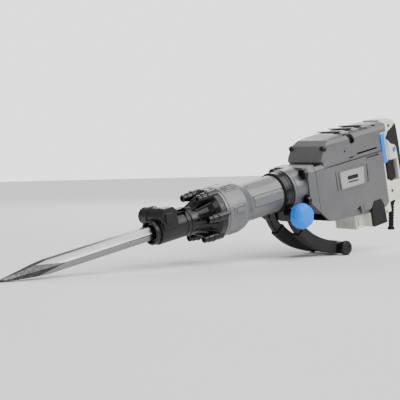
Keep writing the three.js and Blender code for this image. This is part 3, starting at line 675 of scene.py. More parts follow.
def makeHolder(s, pin):
    outer = rounded([
        (s["rear"], 20, 0), (s["rear"], s["radius"], 1.2), (336, s["radius"], 3), (337.5, 24, 0.6),
        (341.5, 24, 0.6), (342, 26.8, 1), (s["front"], 26, 1.6), (s["front"], 20, 0),
    ], 1, 4)
    body = turned(outer, segments=72)
    at = (pin["x"], pin["z"])
    boss = turned(rod(-24, 31, s["boss"], 1.5), "y", at, 56)
    collar = turned(rod(-23.8, -17, s["boss"] + 2.2, 2), "y", at, 56)
    side = rounded([(-23, -24), (15, -24), (15, 12), (7, 19), (-15, 19), (-23, 11)], 5, 5)
    nearBlock = prism([(at[0] + u, at[1] + v) for u, v in side], "y", 14, 33)
    pad = prism(rectangle(at[0] - 13, at[0] + 9, at[1] - 12, at[1] + 8, 4), "y", 30, 37)
    rail = prism(rectangle(262, 300, 26, 34, 1.5), "y", 2, 22)
    join(body, boss, collar, nearBlock, pad, rail)
    bore = turned(rod(s["rear"] - 5, s["front"] + 5, s["bore"]), segments=64)
    pinHole = turned(rod(-40, 28, s["pinBore"]), "y", at, 40)
    headSeat = turned(rod(-60, -24.3, 19.3), "y", at, 56)
    groove = turned(tube(268, 270, 40, 28.7), segments=72)
    return cut(body, bore, pinHole, headSeat, groove)


makePiece("toolHolder", makeHolder(holderShape, crossPin), "gunMetal", ["tool_holder"], edge=0.9, segments=3)


def makeCrossPin(pin):
    at = (pin["x"], pin["z"])
    head = rounded([
        (pin["far"], 0, 0), (pin["far"], 17, 2), (-46.6, pin["radius"], 0.8), (-45.8, 17.4, 0.3),
        (-44.4, 17.4, 0.3), (-43.6, pin["radius"], 0.8), (-24.7, pin["radius"], 0.8), (-24.7, 0, 0),
    ], 1, 4)
    shape = turned(head, "y", at, 72)
    dish = turned(rod(pin["far"] - 3, pin["far"] + 1.2, 9.5, 0.6), "y", at, 48)
    cut(shape, dish)
    stem = turned(rod(-30, 27, pin["stem"], 1), "y", at, 40)
    cut(stem, block(at[0] - 20, at[0] + 20, -24, 30, at[1] + 11.9, at[1] + 20))
    return join(shape, stem)


pinFinish = {"body": "retainer", "slotName": "dark_steel", "edge": 0.6}
makePiece("crossPin", makeCrossPin(crossPin), "gunMetal", ["retainer_pin"], **pinFinish)
print("tool holder is made")

# front cover and its bolts

coverShape = {"rim": 181, "front": 257.7, "bolts": 6, "circle": 50, "boss": 10.2, "head": 8, "headX": 233}


def boltPlaces(s):
    angles = [2 * math.pi * k / s["bolts"] for k in range(s["bolts"])]
    return [(s["circle"] * math.cos(a), s["circle"] * math.sin(a)) for a in angles]


def makeFrontCover(s):
    outer = rounded([
        (s["rim"], 24, 0), (s["rim"], 54.5, 1), (195, 54.5, 3), (203, 45, 3), (213, 37.5, 5), (238, 30.8, 3),
        (255, 30.8, 0), (s["front"], 29.6, 0.5), (s["front"], 24, 0),
    ], 1, 4)
    cover = turned(outer, segments=84)
    extras = []
    for y, z in boltPlaces(s):
        seat = s["headX"] - 10
        profile = [(s["rim"] + 1, 0, 0), (s["rim"] + 1, 10.6, 0), (seat, s["boss"] - 0.8, 1.4), (seat, 0, 0)]
        profile = rounded(profile, 1, 4)
        extras.append(turned(profile, "x", (y, z), 32))
        extras.append(turned(tube(206, 210, 11.4, 5, 0.8), "x", (y, z), 32))
    ribSide = rounded([(184, 22), (184, 52), (198, 52), (206, 46.5), (240, 32.6), (246, 22)], 2.5, 4)
    for k in range(s["bolts"]):
        for lean in (-11, 11):
            rib = prism(ribSide, "y", -1.9, 1.9)
            angle = math.radians(60 * k + 30 + lean)
            extras.append(moved(rib, Matrix.Rotation(angle - math.pi / 2, 4, "X")))
    join(cover, *extras)
    keep(cover, turned(rod(s["rim"], s["front"] + 2, 60.5), segments=84))
    holes = [turned(rod(s["rim"] - 5, s["front"], 5.5), "x", at, 20) for at in boltPlaces(s)]
    bore = turned(rod(s["rim"] - 5, s["front"] + 5, 24), segments=64)
    return cut(cover, bore, *holes)


makePiece("frontCover", makeFrontCover(coverShape), "castBlack", ["front_cover"])


def socketBolt(headX, headLength, head, shank, tailX, at, socket):
    profile = rounded([
        (tailX, 0, 0), (tailX, shank, 0.5), (headX - headLength, shank, 0), (headX - headLength, head, 0.3),
        (headX, head, 1.1), (headX, 0, 0),
    ], 1, 4)
    return cut(turned(profile, "x", at, 40), prism(hexagon(socket, 0, at), "x", headX - 5, headX + 1))


for index, at in enumerate(boltPlaces(coverShape)):
    bolt = socketBolt(coverShape["headX"], 9.7, coverShape["head"], 5, 150, at, 8.2)
    makePiece(f"coverBolt{index + 1}", bolt, "boltBlack", [f"cover_bolt_{index + 1}"], edge=0.35)
print("front cover is made")

# barrel

barrelShape = {"front": 180.7, "collarRear": 121, "cone": 95, "collar": 55.3, "radius": 41.9, "inner": 33.6}


def makeBarrel(s):
    outer = rounded([
        (-28, s["inner"], 0), (-28, 40, 0.6), (0, 40, 0), (0, s["radius"], 0.8),
        (s["cone"], s["radius"], 10),
        (s["collarRear"], s["collar"] - 0.8, 8), (172, s["collar"], 0.6), (173.2, s["collar"] - 1.6, 0.5),
        (176, s["collar"] - 1.6, 0.5), (177, s["collar"] + 0.6, 0.8), (s["front"], s["collar"] + 0.2, 1.4),
        (s["front"], s["inner"], 0),
    ], 1, 5)
    barrel = turned(outer, segments=96)
    pads = []
    for k in range(6):
        turn = Matrix.Rotation(math.radians(60 * k - 90), 4, "X")
        border = prism(rectangle(132, 161, -10.5, 10.5, 2.5), "z", 46, s["collar"] + 1.4)
        cut(border, prism(rectangle(128, 157.5, -7.4, 7.4, 2), "z", s["collar"] - 0.6, 62))
        tongue = prism(rectangle(130, 154.5, -4.4, 4.4, 1.6), "z", 46, s["collar"] + 1.4)
        pads += [moved(border, turn), moved(tongue, turn)]
    flank = prism(rounded([(6, -9), (90, -9), (90, 15), (6, 15)], 4), "y", 36, 43.4)
    low = prism(rectangle(8, 88, -6, 6, 3), "z", 36, 43)
    pads += [flank, mirrored(flank)]
    pads += [moved(copyOf(low), Matrix.Rotation(math.radians(a), 4, "X")) for a in (35, -35, 145, -145)]
    bpy.data.objects.remove(low)
    join(barrel, *pads)
    around = [(-60, 0), (-60, 44), (s["cone"] - 2, 44), (s["collarRear"] + 2, 57), (185, 57), (185, 0)]
    keep(barrel, turned(around, segments=96))
    lines = [prism(rectangle(5, 90, z, z + 0.6, 0.2), "y", y, 48) for y, z in ((38.3, 15.2), (40, -9.8))]
    oilHole = turned(rod(37, 48, 2.1), "y", (93, 20), 20)
    bore = turned(rod(-40, 190, s["inner"]), segments=72)
    return cut(barrel, bore, oilHole, *lines, *[mirrored(each) for each in lines])


makePiece("barrelCasting", makeBarrel(barrelShape), "greyPaint", ["barrel"], edge=0.8)
ringProfile = rounded([(-2.2, 40.5), (-2.2, 45.4), (-0.3, 45.4), (-0.3, 40.5)], 0.6, 3)
makePiece("barrelRing", turned(ringProfile, segments=96), "rubber", ["barrel_ring"], edge=0)
print("barrel is made")

# front housing and body shells

bodyShape = {
    "front": -62, "seam": -88, "rear": -318, "half": 58.5, "shelf": 46, "ridge": 31, "wall": 4,
    "screwY": 48, "screwTop": 32, "screwLow": -28, "screwFace": -57,
}


def bodyBlock(s):
    side = rounded([
        (s["front"], s["shelf"], 4), (-119, s["shelf"], 0), (-119, s["ridge"], 0),
        (s["rear"], s["ridge"], 0),
        (s["rear"], -104, 3), (-240, -104, 10), (-114, -91, 14), (s["front"], -36, 8),
    ], 1, 5)
    half = s["half"]
    section = rounded([
        (-half, -93, 5), (-half + 9, -105, 5), (half - 9, -105, 5), (half, -93, 5), (half, 33, 6),
        (half - 12, s["shelf"] + 1, 8), (-half + 12, s["shelf"] + 1, 8), (-half, 33, 6),
    ], 1, 5)
    return keep(prism(side, "y", -half - 1, half + 1), prism(section, "x", s["rear"] - 1, s["front"] + 1))


def makeFrontHousing(s):
    housing = keep(bodyBlock(s), block(s["seam"] + 0.3, 0, -80, 80, -120, 80))
    steps = 56
    rings = []
    for x, radius, flat in ((-33, 46.2, 1), (-45, 47, 0.98), (-56, 50.5, 0.92), (-66, 55.5, 0.84)):
        angles = [2 * math.pi * k / steps for k in range(steps)]
        rings.append([(x, radius * math.cos(a), radius * flat * math.sin(a)) for a in angles])
    neck = loft(rings)
    lip = turned(rounded([(-37, 30), (-37, 47.2), (-29, 47.2), (-29, 30)], 1.2, 4), segments=96)
    extras = [neck, lip]
    holes = []
    for side in (-1, 1):
        for z in (s["screwTop"], s["screwLow"]):
            at = (side * s["screwY"], z)
            extras.append(turned(rod(-72, s["screwFace"], 11, 1.5), "x", at, 40))
            holes.append(turned(rod(-95, -63, 4.5), "x", at, 20))
            holes.append(turned(rod(-66, -50, 8.5), "x", at, 32))
    join(housing, *extras)
    bore = turned(rod(-120, 0, 40.6), segments=72)
    behind = block(-120, -80, -49, 49, -52, s["shelf"] - s["wall"])
    return cut(housing, bore, behind, *holes)


makePiece("frontHousing", makeFrontHousing(bodyShape), "housingPaint", ["front_housing"], edge=1.0)

screwHeights = (bodyShape["screwTop"], bodyShape["screwLow"])
screwPlaces = [(side * bodyShape["screwY"], z) for side in (1, -1) for z in screwHeights]
for index, at in enumerate(screwPlaces):
    screw = socketBolt(bodyShape["screwFace"] + 1.5, 10, 8, 4, -86, at, 8.2)
    makePiece(f"housingScrew{index + 1}", screw, "boltBlack", [f"housing_screw_{index + 1}"], edge=0.35)
    cup = turned(rounded([(-64, 8.6), (-64, 12.4), (-54.6, 11.8), (-54.6, 8.6)], 0.8, 3), "x", at, 48)
    makePiece(f"screwCup{index + 1}", cup, "castBlack", edge=0)

plateOutline = [(-160, 15), (-249, 12), (-243, -32), (-161, -30)]
padOutline = [(-252.5, -101), (-265, -80.5), (-290, -80.5), (-298, -96), (-301.5, -139.5), (-252, -139.5)]


def flankCuts(s):
    half = s["half"]
    grooves = []
    for x, low, high, lean in ((-151, -30, 15, 0), (-254, -31, 13, -4)):
        side = [(x - 1.3, low), (x + 1.3, low), (x + 1.3 + lean, high), (x - 1.3 + lean, high)]
        grooves.append(prism(rounded(side, 1, 2), "y", half - 2.4, half + 2))
    pocket = [(x + (0.5 if x > -275 else -0.5), z + 0.5) for x, z in padOutline]
    grooves.append(prism(rounded(pocket, 2.5), "y", 54.5, half + 2))
    grooves.append(prism(rounded([(-184, -97), (-218, -78), (-224, -106)], 1.5), "y", half - 7, half + 3))
    grooves.append(prism(rectangle(-304, -258, 23.6, 27.4, 1.8), "y", half - 6, half + 2))
    grooves.append(prism(rectangle(-306, -156, 29.2, 30.2, 0.3), "y", half - 1.1, half + 2))
    grooves.append(prism(rectangle(-229.5, -227.5, -100, -78, 0.8), "y", half - 1.6, half + 2))
    for z in (-26, -15, -4, 7):
        # shallow flutes beside the plate
        grooves.append(turned(rod(-320, -258.5, 12), "x", (half + 11.65, z), 48))
    return grooves


def makeBodyShells(s):
    shell = keep(bodyBlock(s), block(-400, s["seam"] - 0.3, -80, 80, -120, 80))
    hollow = [
        block(-314, -93, -51.5, 51.5, -88, 60),
        block(-314, -232, -34, 34, -120, -80),
        block(-311, -211, -48, 48, -98, -80),
        block(-120, -80, -50, 50, -50, 42),
    ]
    left = flankCuts(s)
    return cut(shell, *hollow, *left, *[mirrored(each) for each in left])


shellLeft, shellRight = halves(makeBodyShells(bodyShape))
makePiece("bodyLeft", shellLeft, "panelPaint", ["body_shell_left"], edge=0.8)
makePiece("bodyRight", shellRight, "panelPaint", ["body_shell_right"], edge=0.8)
print("body is made")

plateShape = {
    "inner": [(-164, 12), (-245.6, 9.2), (-240.2, -28.8), (-165, -27)],
    "low": 58.8, "face": 60.1, "rim": 60.7, "bar": (60, 60.45),
}


def makeNameplate(s):
    # a plain sheet in a raised rim, with two plain dark bars on it
    bezel = prism(rounded(plateOutline, 4, 5), "y", s["low"], s["rim"])
    cut(bezel, prism(rounded(s["inner"], 3, 5), "y", s["low"] - 1, s["rim"] + 1))
    sheet = prism(rounded(s["inner"], 3, 5), "y", s["low"], s["face"])
    broad = [(-186, -1.6), (-222, -2.8), (-221, -11.8), (-186.5, -10.6)]
    narrow = [(-186.6, -14.4), (-220.6, -15.8), (-220.3, -18.8), (-186.8, -17.4)]
    bars = [
        prism(rounded(broad, 2, 4), "y", *s["bar"]),
        prism(rounded(narrow, 1, 3), "y", *s["bar"]),
    ]
    return bezel, sheet, bars


bezel, sheet, bars = makeNameplate(plateShape)
makePair("nameplate", sheet, "plateSheet", "nameplate", edge=0.2)
makePair("plateRim", bezel, "greyPaint", edge=0.4)
for index, bar in enumerate(bars):
    makePair("plateBar", bar, "blackPlastic", number=index + 1, edge=0)

# hump over the gears

humpShape = {"front": -112, "top": 98, "rear": -355, "overhang": 72, "slots": (-201, -239, -274)}


def makeHump(s):
    side = rounded([
        (s["front"], 46.3, 0), (-132, 79, 16), (-150, 90, 16), (-186, s["top"], 30), (-330, s["top"], 20),
        (-347, 95, 9), (s["rear"], 86, 7), (s["rear"], s["overhang"], 2), (-318, s["overhang"], 0),
        (-318, 31.3, 0), (-119.3, 31.3, 0), (-119.3, 46.3, 0),
    ], 1, 6)
    half = [(56.5, 30, 0), (54, 80, 8), (49, 88.5, 7), (38, 94.5, 16), (22, 97.3, 22)]
    section = rounded(half + [(-y, z, r) for y, z, r in reversed(half)], 1, 6)
    plan = [(-111, 50.5, 0), (-121, 58, 9), (-322, 58, 14), (-345, 52, 10), (-354, 44, 8), (-357, 30, 0)]
    plan = rounded(plan + [(x, -y, r) for x, y, r in reversed(plan)], 1, 6)
    outer = keep(prism(side, "y", -60, 60), prism(section, "x", -360, -100), prism(plan, "z", 20, 104))
    innerSide = [(-122.5, 20), (-122.5, 50), (-140, 78), (-190, 92), (-312, 92), (-312, 20)]
    innerSection = [(-52, 20), (-50, 77), (-34, 90), (34, 90), (50, 77), (52, 20)]
    inner = keep(prism(innerSide, "y", -50.5, 50.5), prism(innerSection, "x", -340, -100))
    scoop = rounded([(-207, 104), (-221, 104), (-231, 85), (-232, 68), (-216, 68), (-215, 83)], 4, 5)
    grooves = [
        prism(rectangle(-304, -233, 39.1, 42.9, 1.9), "y", 50, 62),
        prism(rectangle(-222, -205, 35.6, 38.4, 1.4), "y", 50, 62),
        prism(rectangle(-290, -265, 89.6, 92.9, 1.6), "y", 40, 50.5),
        prism(scoop, "y", 44, 62),
        turned(rod(50, 62, 2.3), "y", (-194, 55), 24),
    ]
    cuts = grooves + [mirrored(each) for each in grooves]
    for x in s["slots"]:
        slot = rounded([(x - 4.8, -34), (x + 3.8, -34), (x + 4.8, 34), (x - 3.8, 34)], 3.4, 5)
        cuts.append(prism(slot, "z", 86, 110))
    for side in (-1, 1):
        cuts.append(turned(rod(88, 104, 4.6), "z", (-316, side * 40), 28))
    cut(outer, inner, *cuts)
    # a low hood rises behind the front edge of every slot
    hood = [(-13.5, 97.2), (-13.5, 98.3), (-5.6, 100.6), (-4.9, 100.3), (-4.9, 97.2)]
    ribs = [prism([(x + u, z) for u, z in hood], "y", -36, 36) for x in s["slots"]]
    return join(outer, *ribs)


makePiece("gearHump", makeHump(humpShape), "panelPaint", ["gear_cover"], edge=1.0)


# painted shade: black sheets close the shoulder recesses from inside and stand in for the shade deep in them
shoulderShadeSheet = prism([(-204, 94), (-236, 86), (-236, 64), (-212, 64)], "y", 45.5, 47)
makePair("shoulderShadeSheet", shoulderShadeSheet, "blackPlastic", edge=0)

for index, side in enumerate((1, -1)):
    at = (side * 49.5, 74)
    cup = rounded([(-134, 0), (-134, 8.2), (-126.4, 7.8), (-126.4, 5), (-128, 5), (-128, 0)], 0.7, 3)
    makePiece(f"humpScrewCup{index + 1}", turned(cup, "x", at, 40), "castBlack", edge=0)
    head = turned(rod(-129, -125.6, 4.7, 0.7), "x", at, 28)
    cut(head, prism(hexagon(5, 0, at), "x", -127.6, -124))
    makePiece(f"humpScrewFront{index + 1}", head, "boltBlack", edge=0.25)
    head = turned(rod(90, 94.4, 4.2, 0.6), "z", (-316, side * 40), 28)
    cut(head, prism(hexagon(4.6, 0, (-316, side * 40)), "z", 92.6, 96))
    makePiece(f"humpScrewRear{index + 1}", head, "boltBlack", edge=0.25)
print("hump is made")

# lower cover and rubber pads

lowerShape = {
    "front": -219, "step": -250, "bottom": -139, "top": -104.3, "frontHalf": 35.5, "rearHalf": 54.2,
}


def makeLowerCover(s):
    frontPlan = rectangle(s["step"] - 3, s["front"], -s["frontHalf"], s["frontHalf"], 6, 5)
    rearPlan = rectangle(-316, s["step"], -s["rearHalf"], s["rearHalf"], 5, 5)
    front = prism(frontPlan, "z", s["bottom"], s["top"])
    rear = prism(rearPlan, "z", s["bottom"], s["top"])
    taper = block(-320, -303, -60, 60, -160, -124)
    inside = block(-296, -224, -31, 31, s["bottom"] + 4, s["top"] + 5)
    slots = []
    for k in range(4):
        x = -226.5 - 5.4 * k
        outline = rectangle(x - 1.1, x + 1.1, -131, -112, 1)
        slots.append(prism(outline, "y", s["frontHalf"] - 2.4, s["frontHalf"] + 3))
    outline = rectangle(-312.5, -305, -118, -113.6, 1.6)
    slots.append(prism(outline, "y", s["rearHalf"] - 3, s["rearHalf"] + 3))
    cuts = slots + [mirrored(each) for each in slots]
    for k in range(5):
        y = -22 + 11 * k
        outline = rectangle(y - 2, y + 2, -131, -113, 1.9)
        cuts.append(prism(outline, "x", s["front"] - 2.2, s["front"] + 4))
    return cut(join(front, rear), taper, inside, *cuts)


makePiece("lowerCover", makeLowerCover(lowerShape), "creamPlastic", ["lower_cover"], edge=1.4, segments=3)


def makePad():
    pad = prism(rounded(padOutline, 3, 4), "y", 54.8, 60)
    for k in range(3):
        low = -132 + 15 * k
        bar = [(-294 + k, low), (-257, low), (-257 - k, low + 7), (-292 + 2 * k, low + 7)]
        join(pad, prism(rounded(bar, 1.6, 3), "y", 59, 60.6))
    return pad


makePair("sidePad", makePad(), "gripRubber", "rubber_pad", edge=0.8)

# tail cover, blue strips and rear handle

tailShape = {"front": -318.3, "rear": -346, "lowHalf": 40, "bottom": -124, "top": 71.7}


def makeTail(s):
    wing = [(s["front"], 56.5, 0.5), (-335, 54.5, 6), (s["rear"], 46, 4)]
    wing = prism(rounded(wing + [(x, -y, r) for x, y, r in reversed(wing)], 1, 5), "z", 0, s["top"])
    half = s["lowHalf"]
    low = [(s["rear"], -half, 7), (s["front"], -half, 0), (s["front"], half, 0), (s["rear"], half, 7)]
    low = prism(rounded(low, 1, 6), "z", s["bottom"], 5)
    seat = block(-333.4, -317, 54, 70, -1, 71)
    inside = block(-341, -310, -34, 34, -98, 66)
    return cut(join(wing, low), seat, mirrored(seat), inside)


makePiece("tailCover", makeTail(tailShape), "creamPlastic", ["tail_cover"], edge=1.6, segments=3)

stripOutline = [(-318.4, 54.3, 0), (-318.4, 58.2, 0.5), (-331, 57.4, 2), (-333, 55.6, 0.8), (-333, 54.3, 0)]
strip = prism(rounded(stripOutline, 1, 4), "z", 0, 69)
makePair("blueStrip", strip, "bluePlastic", "accent_strip", edge=0.6)

gripShape = {"front": -376, "top": 98, "bottom": -106}


def quadratic(start, bend, end, steps):
    points = []
    for k in range(1, steps + 1):
        t = k / steps
        point = [(1 - t) ** 2 * a + 2 * t * (1 - t) * b + t * t * c for a, b, c in zip(start, bend, end)]
        points.append(tuple(point))
    return points


def gripBlock(s):
    side = [(-346.3, s["bottom"]), (-346.3, 71), (-355.3, 71), (-355.3, s["top"]), (-385, s["top"] - 1)]
    side += quadratic((-385, 97), (-418, 93), (-421, 74), 8)
    side += quadratic((-421, 74), (-427, 10), (-421, -66), 10)
    side += quadratic((-421, -66), (-420, -96), (-402, s["bottom"]), 8)
    count = len(side)
    # each slice across the handle is drawn in a little more towards its sides
    layers = [(-25.4, 9), (-24, 5.6), (-21.4, 3), (-17.5, 1.1), (-12, 0.2), (0, 0)]
    layers += [(-y, inset) for y, inset in reversed(layers[:-1])]
    rings = []
    for y, inset in layers:
        ring = []
        for i, (x, z) in enumerate(side):
            along = (Vector(side[(i + 1) % count]) - Vector(side[i - 1])).normalized()
            inward = Vector((-along.y, along.x))
            free = 0 if x > -356 else min(1, (-356 - x) / 14)
            point = Vector((x, z)) + inward * inset * free
            ring.append((point.x, y, point.y))
        rings.append(ring)
    return loft(rings)


def gripOpening(s):
    # the hand opening, flared towards both sides so its rim is round
    rings = []
    flare = [(-30, 7), (-25.6, 5.6), (-23.6, 3.2), (-20.6, 1.3), (-16, 0.2)]
    for y, grow in flare + [(-y, grow) for y, grow in reversed(flare)]:
        outline = rectangle(s["front"] - grow, -347.8, -52 - grow, 60 + grow, 11 + grow * 0.6, 6)
        rings.append([(x, y, z) for x, z in outline])
    return loft(rings)


softSide = [
    (-440, 84, 0), (-414, 84, 4), (-398, 72, 8), (-379, 64, 5), (-377, 48, 6), (-386, 34, 6), (-402, 28, 8),
    (-406, 10, 6), (-408, -40, 4), (-408, -88, 3), (-440, -88, 0),
]
buttonAt = (-396, 18)


def softBand(grow):
    points = []
    for x, z, radius in softSide:
        points.append((x if x < -430 else x - grow, z - grow if z > 50 else z + grow, radius))
    return prism(rounded(points, 1, 5), "y", -40, 40)


handleScrews = [(-388, 78), (-372, -80), (-363, 66)]


def makeHandle(s):
    whole = gripBlock(s)
    cut(whole, gripOpening(s))
    left, right = halves(copyOf(whole))
    boss = rounded([(12, 0, 0), (12, 9.5, 0), (26.5, 9.5, 1.6), (26.5, 0, 0)], 1, 4)
    join(left, turned(boss, "y", buttonAt, 40))
    buttonHole = rod(8, 34, 6.5)
    for half, screwSeat in ((left, rod(19, 30, 4.4)), (right, rod(-30, -19, 4.4))):
        cuts = [softBand(0), block(-402, -370, -40, 40, -57, -4.5)]
        cuts.append(turned(rod(-112, -70, 5), "z", (-392, 0), 20))
        if half == left:
            cuts.append(turned(buttonHole, "y", buttonAt, 36))
        cuts += [turned(screwSeat, "y", at, 28) for at in handleScrews]
        cut(half, *cuts)
    soft = keep(whole, softBand(0.3))
    return left, right, cut(soft, turned(buttonHole, "y", buttonAt, 36))


handleLeft, handleRight, softGrip = makeHandle(gripShape)
handleFinish = {"edge": 0.5, "limit": 36, "flat": False}
makePiece("rearHandleLeft", handleLeft, "creamPlastic", ["rear_handle_left"], **handleFinish)
makePiece("rearHandleRight", handleRight, "creamPlastic", ["rear_handle_right"], **handleFinish)
makePiece("softGrip", softGrip, "gripRubber", ["rear_soft_grip"], **handleFinish)

for index, at in enumerate(handleScrews):
    head = turned(rod(19.2, 22, 4.1, 0.5), "y", at, 28)
    cut(head, prism(hexagon(4.2, 0, at), "y", 20.4, 24))
    makePiece(f"handleScrew{2 * index + 1}", mirrored(head), "boltBlack", edge=0.25)
    makePiece(f"handleScrew{2 * index + 2}", head, "boltBlack", edge=0.25)


def makeTrigger():
    side = rounded([
        (-394.5, -6.5, 1.5), (-379, -6.5, 4), (-369, -14, 6), (-367, -32, 16), (-370, -50, 5),
        (-376, -55.5, 3), (-385, -55.5, 3), (-394.5, -50, 2),
    ], 1, 5)
    grooves = [prism(rectangle(-370.4, -360, z, z + 1.4, 0.5), "y", -14, 14) for z in (-24, -29, -34, -39)]
    return cut(prism(side, "y", -21.5, 21.5), *grooves)


makePiece("triggerLever", makeTrigger(), "blackPlastic", ["trigger"], body="trigger", edge=1.6, segments=3)


def makeButton():
    profile = rounded([(13, 0, 0), (13, 6, 0.4), (27.2, 6, 1.8), (28.5, 2.4, 1), (28.3, 0, 0)], 1, 4)
    return turned(profile, "y", buttonAt, 48)


makePiece("lockButton", makeButton(), "bluePlastic", ["lock_button"], body="lock_button", edge=0)


def makeCordGuard():
    outer = [(0, 4), (0.4, 9.6), (2, 10), (4.6, 10), (5.6, 8.2)]
    for k in range(8):
        z = 9 + 7 * k
        wide = 7.7 - 0.09 * k
        outer += [(z, wide), (z + 4.2, wide - 0.2), (z + 4.7, wide - 1.6), (z + 6.4, wide - 1.6)]
    outer += [(66, 7.2), (69, 8.5), (73.4, 8.5), (74, 8), (74, 4)]
    sleeve = turned([(-z, r) for z, r in outer], "z", (0, 0), 48)
    turn = Matrix.Translation((-391, 0, -108.4)) @ Matrix.Rotation(math.radians(-12), 4, "Y")
    return moved(sleeve, turn)


makePiece("cordGuard", makeCordGuard(), "rubber", ["cord_guard"], edge=0.3)
print("rear handle is made")

# side handle

clampShape = {"front": -2.5, "rear": -25, "radius": 46.2, "inner": 40.5, "x": -16, "z": -53}
clampAt = (clampShape["x"], clampShape["z"])
armShape = {"bar": (-154.5, -164.3), "bend": (-33, -130), "face": 47, "cap": 17}


def makeClamp(s):
    outline = rounded([
        (s["rear"], s["inner"], 0.5), (s["rear"], s["radius"], 1), (-20, s["radius"], 0.4),
        (-19, s["radius"] - 1.2, 0.3), (-8.5, s["radius"] - 1.2, 0.3), (-7.5, s["radius"], 0.4),
        (s["front"], s["radius"], 1), (s["front"], s["inner"], 0.5),
    ], 1, 3)
    band = turned(outline, segments=96)
    rear = s["x"] - 11
    front = s["x"] + 11
    side = [(rear, s["z"] - 13, 6), (front, s["z"] - 13, 6), (front, -38, 0), (rear, -38, 0)]
    side = rounded(side, 1, 5)
    lugs = [prism(side, "y", low, low + 20) for low in (5, -25)]
    join(band, *lugs)
    bore = turned(rod(-40, 10, s["inner"]), segments=96)
    split = block(-40, 10, -5, 5, -60, -30)
    hole = turned(rod(-40, 40, 6.3), "y", clampAt, 32)
    return cut(band, bore, split, hole)


makePiece("clampBand", makeClamp(clampShape), "castBlack", ["handle_clamp_band"], body="side_handle")


def makeClampBolt():
    shank = turned(rod(-50, 74, 6, 0.8), "y", clampAt, 36)
    head = prism(hexagon(18, 0, clampAt), "y", -57, -48)
    cone = turned([(-49, 0), (-49, 14), (-55.5, 14), (-57.2, 8.4), (-57.2, 0)], "y", clampAt, 40)
    return join(shank, keep(head, cone))


makePiece("clampBolt", makeClampBolt(), "boltBlack", ["clamp_bolt"], body="side_handle", edge=0.4)


def makeKnob():
    def lobed(radius, angle):
        # six shallow hollows, deeper towards the rim
        share = min(1, max(0, (radius - 15) / 12))
        return radius - share * 1.2 * (0.5 + 0.5 * math.cos(6 * (angle - 0.26))) ** 2

    profile = rounded([
        (56, 0, 0), (56, 15, 0), (57.2, 22, 1.5), (61, 28.4, 3), (74.5, 29, 5), (82.5, 25, 5),
        (86.8, 18.5, 0.8), (88, 12, 6), (88, 0, 0),
    ], 1, 6)
    knob = turned(profile, "y", clampAt, 144, lobed)
    hole = turned(rod(50, 76, 6.4), "y", clampAt, 32)
    return cut(knob, hole)


makePiece("clampKnob", makeKnob(), "bluePlastic", ["clamp_knob"], body="knob", edge=0.5, limit=40)


def armPoint(t):
    # a point on the curve of the arm, and the arm's direction there
    start = Vector(clampAt)
    bend = Vector(armShape["bend"])
    end = Vector(armShape["bar"])
    point = (1 - t) ** 2 * start + 2 * t * (1 - t) * bend + t * t * end
    along = (2 * (1 - t) * (bend - start) + 2 * t * (end - bend)).normalized()
    return point, along


def armLoft(start, end, steps, halfWide, low, high, radius):
    rings = []
    for k in range(steps + 1):
        t = start + (end - start) * k / steps
        point, along = armPoint(t)
        across = Vector((-along.y, along.x))
        ring = []
        for u, y in rectangle(-halfWide, halfWide, low, high, radius, 5):
            ring.append((point.x + across.x * u, y, point.y + across.y * u))
        rings.append(ring)
    return loft(rings)


def makeArm():
    arm = armLoft(0, 1, 36, 12, 27, 44, 4)
    eyeTop = turned(rod(25.5, armShape["face"] - 1, 14.5, 1.6), "y", clampAt, 56)
    eyeLow = turned(rod(27, armShape["face"] - 1, 14.5, 1.6), "y", armShape["bar"], 56)
    holeTop = turned(rod(20, 60, 6.3), "y", clampAt, 32)
    holeLow = turned(rod(20, 60, 9.4), "y", armShape["bar"], 32)
    room = turned(rod(-45, 20, clampShape["radius"] + 0.6), segments=96)
    return cut(join(arm, eyeTop, eyeLow), holeTop, holeLow, room)


def makeArmGrip():
    sleeve = armLoft(0.3, 0.88, 30, 14.6, 24.2, 46.8, 5)
    collarEnds = ((0.27, 0.315), (0.865, 0.9))
    collars = [armLoft(start, end, 4, 15.2, 23.8, 47.2, 5.4) for start, end in collarEnds]
    join(sleeve, *collars)
    hollow = armLoft(0.2, 0.95, 36, 12.4, 26.7, 44.3, 4)
    return cut(sleeve, hollow)


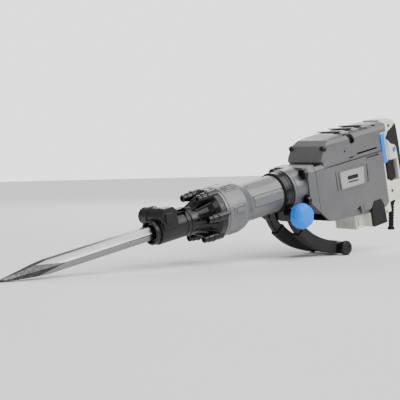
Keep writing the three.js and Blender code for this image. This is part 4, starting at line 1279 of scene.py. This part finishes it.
makePair("sideArm", makeArm(), "castBlack", "handle_arm", body="side_handle", edge=0.6)
makePair("armGrip", makeArmGrip(), "gripRubber", "arm_grip", body="side_handle", edge=0.6)


def makeCrossBar():
    profile = [(-52, 0, 0), (-52, 9, 0.8), (-26.2, 9, 0), (-26.2, 15.5, 1.4)]
    for k in range(6):
        y = -20 + 7.4 * k
        profile += [(y, 15.5, 0.3), (y + 0.6, 14.5, 0.3), (y + 1.8, 14.5, 0.3), (y + 2.4, 15.5, 0.3)]
    profile += [(26.2, 15.5, 1.4), (26.2, 9, 0), (52, 9, 0.8), (52, 0, 0)]
    return turned(rounded(profile, 1, 3), "y", armShape["bar"], 56)


makePiece("crossBar", makeCrossBar(), "gripRubber", ["handle_cross_bar"], body="side_handle", edge=0.4)


def makeEndCap():
    cap = armShape["cap"]
    profile = rounded([
        (47.4, 9.4, 0), (47.4, 15.6, 0.6), (49.6, 15.6, 0.4), (50.4, cap, 0.8), (57, cap, 1.6),
        (59, 14.6, 1), (59, 8.5, 0.6), (57.6, 7.6, 0.5), (57.6, 0, 0), (52.4, 0, 0), (52.4, 9.4, 0),
    ], 1, 4)
    return turned(profile, "y", armShape["bar"], 72)


makePair("endCap", makeEndCap(), "blackPlastic", "end_cap", body="side_handle", edge=0.3)
print("side handle is made")

# pieces inside the casings, carried over as they are

keepNodes("brightSteel", "cylinder_liner", "anvil", "ram", "piston")
keepNodes("brightSteel", "crank_bearing", "motor_bearing_top", "motor_bearing_bottom")
keepNodes("darkSteel", "con_rod", "crankshaft", "idler_gear", "stator")
keepNodes("boltBlack", "chisel_bushing")
keepNodes("copperWinding", "armature")
keepNodes("blackPlastic", "carbon_brush_left", "carbon_brush_right")


floorShape = {"half": 6}


def makeFloor(s):
    mesh = bmesh.new()
    half = s["half"]
    corners = [(-half, -half), (half, -half), (half, half), (-half, half)]
    mesh.faces.new([mesh.verts.new((x, y, 0)) for x, y in corners])
    floor = toObject(mesh)
    floor.name = "floor"
    floor.data.materials.append(materials["paleFloor"])


makeFloor(floorShape)

bpy.context.view_layer.update()
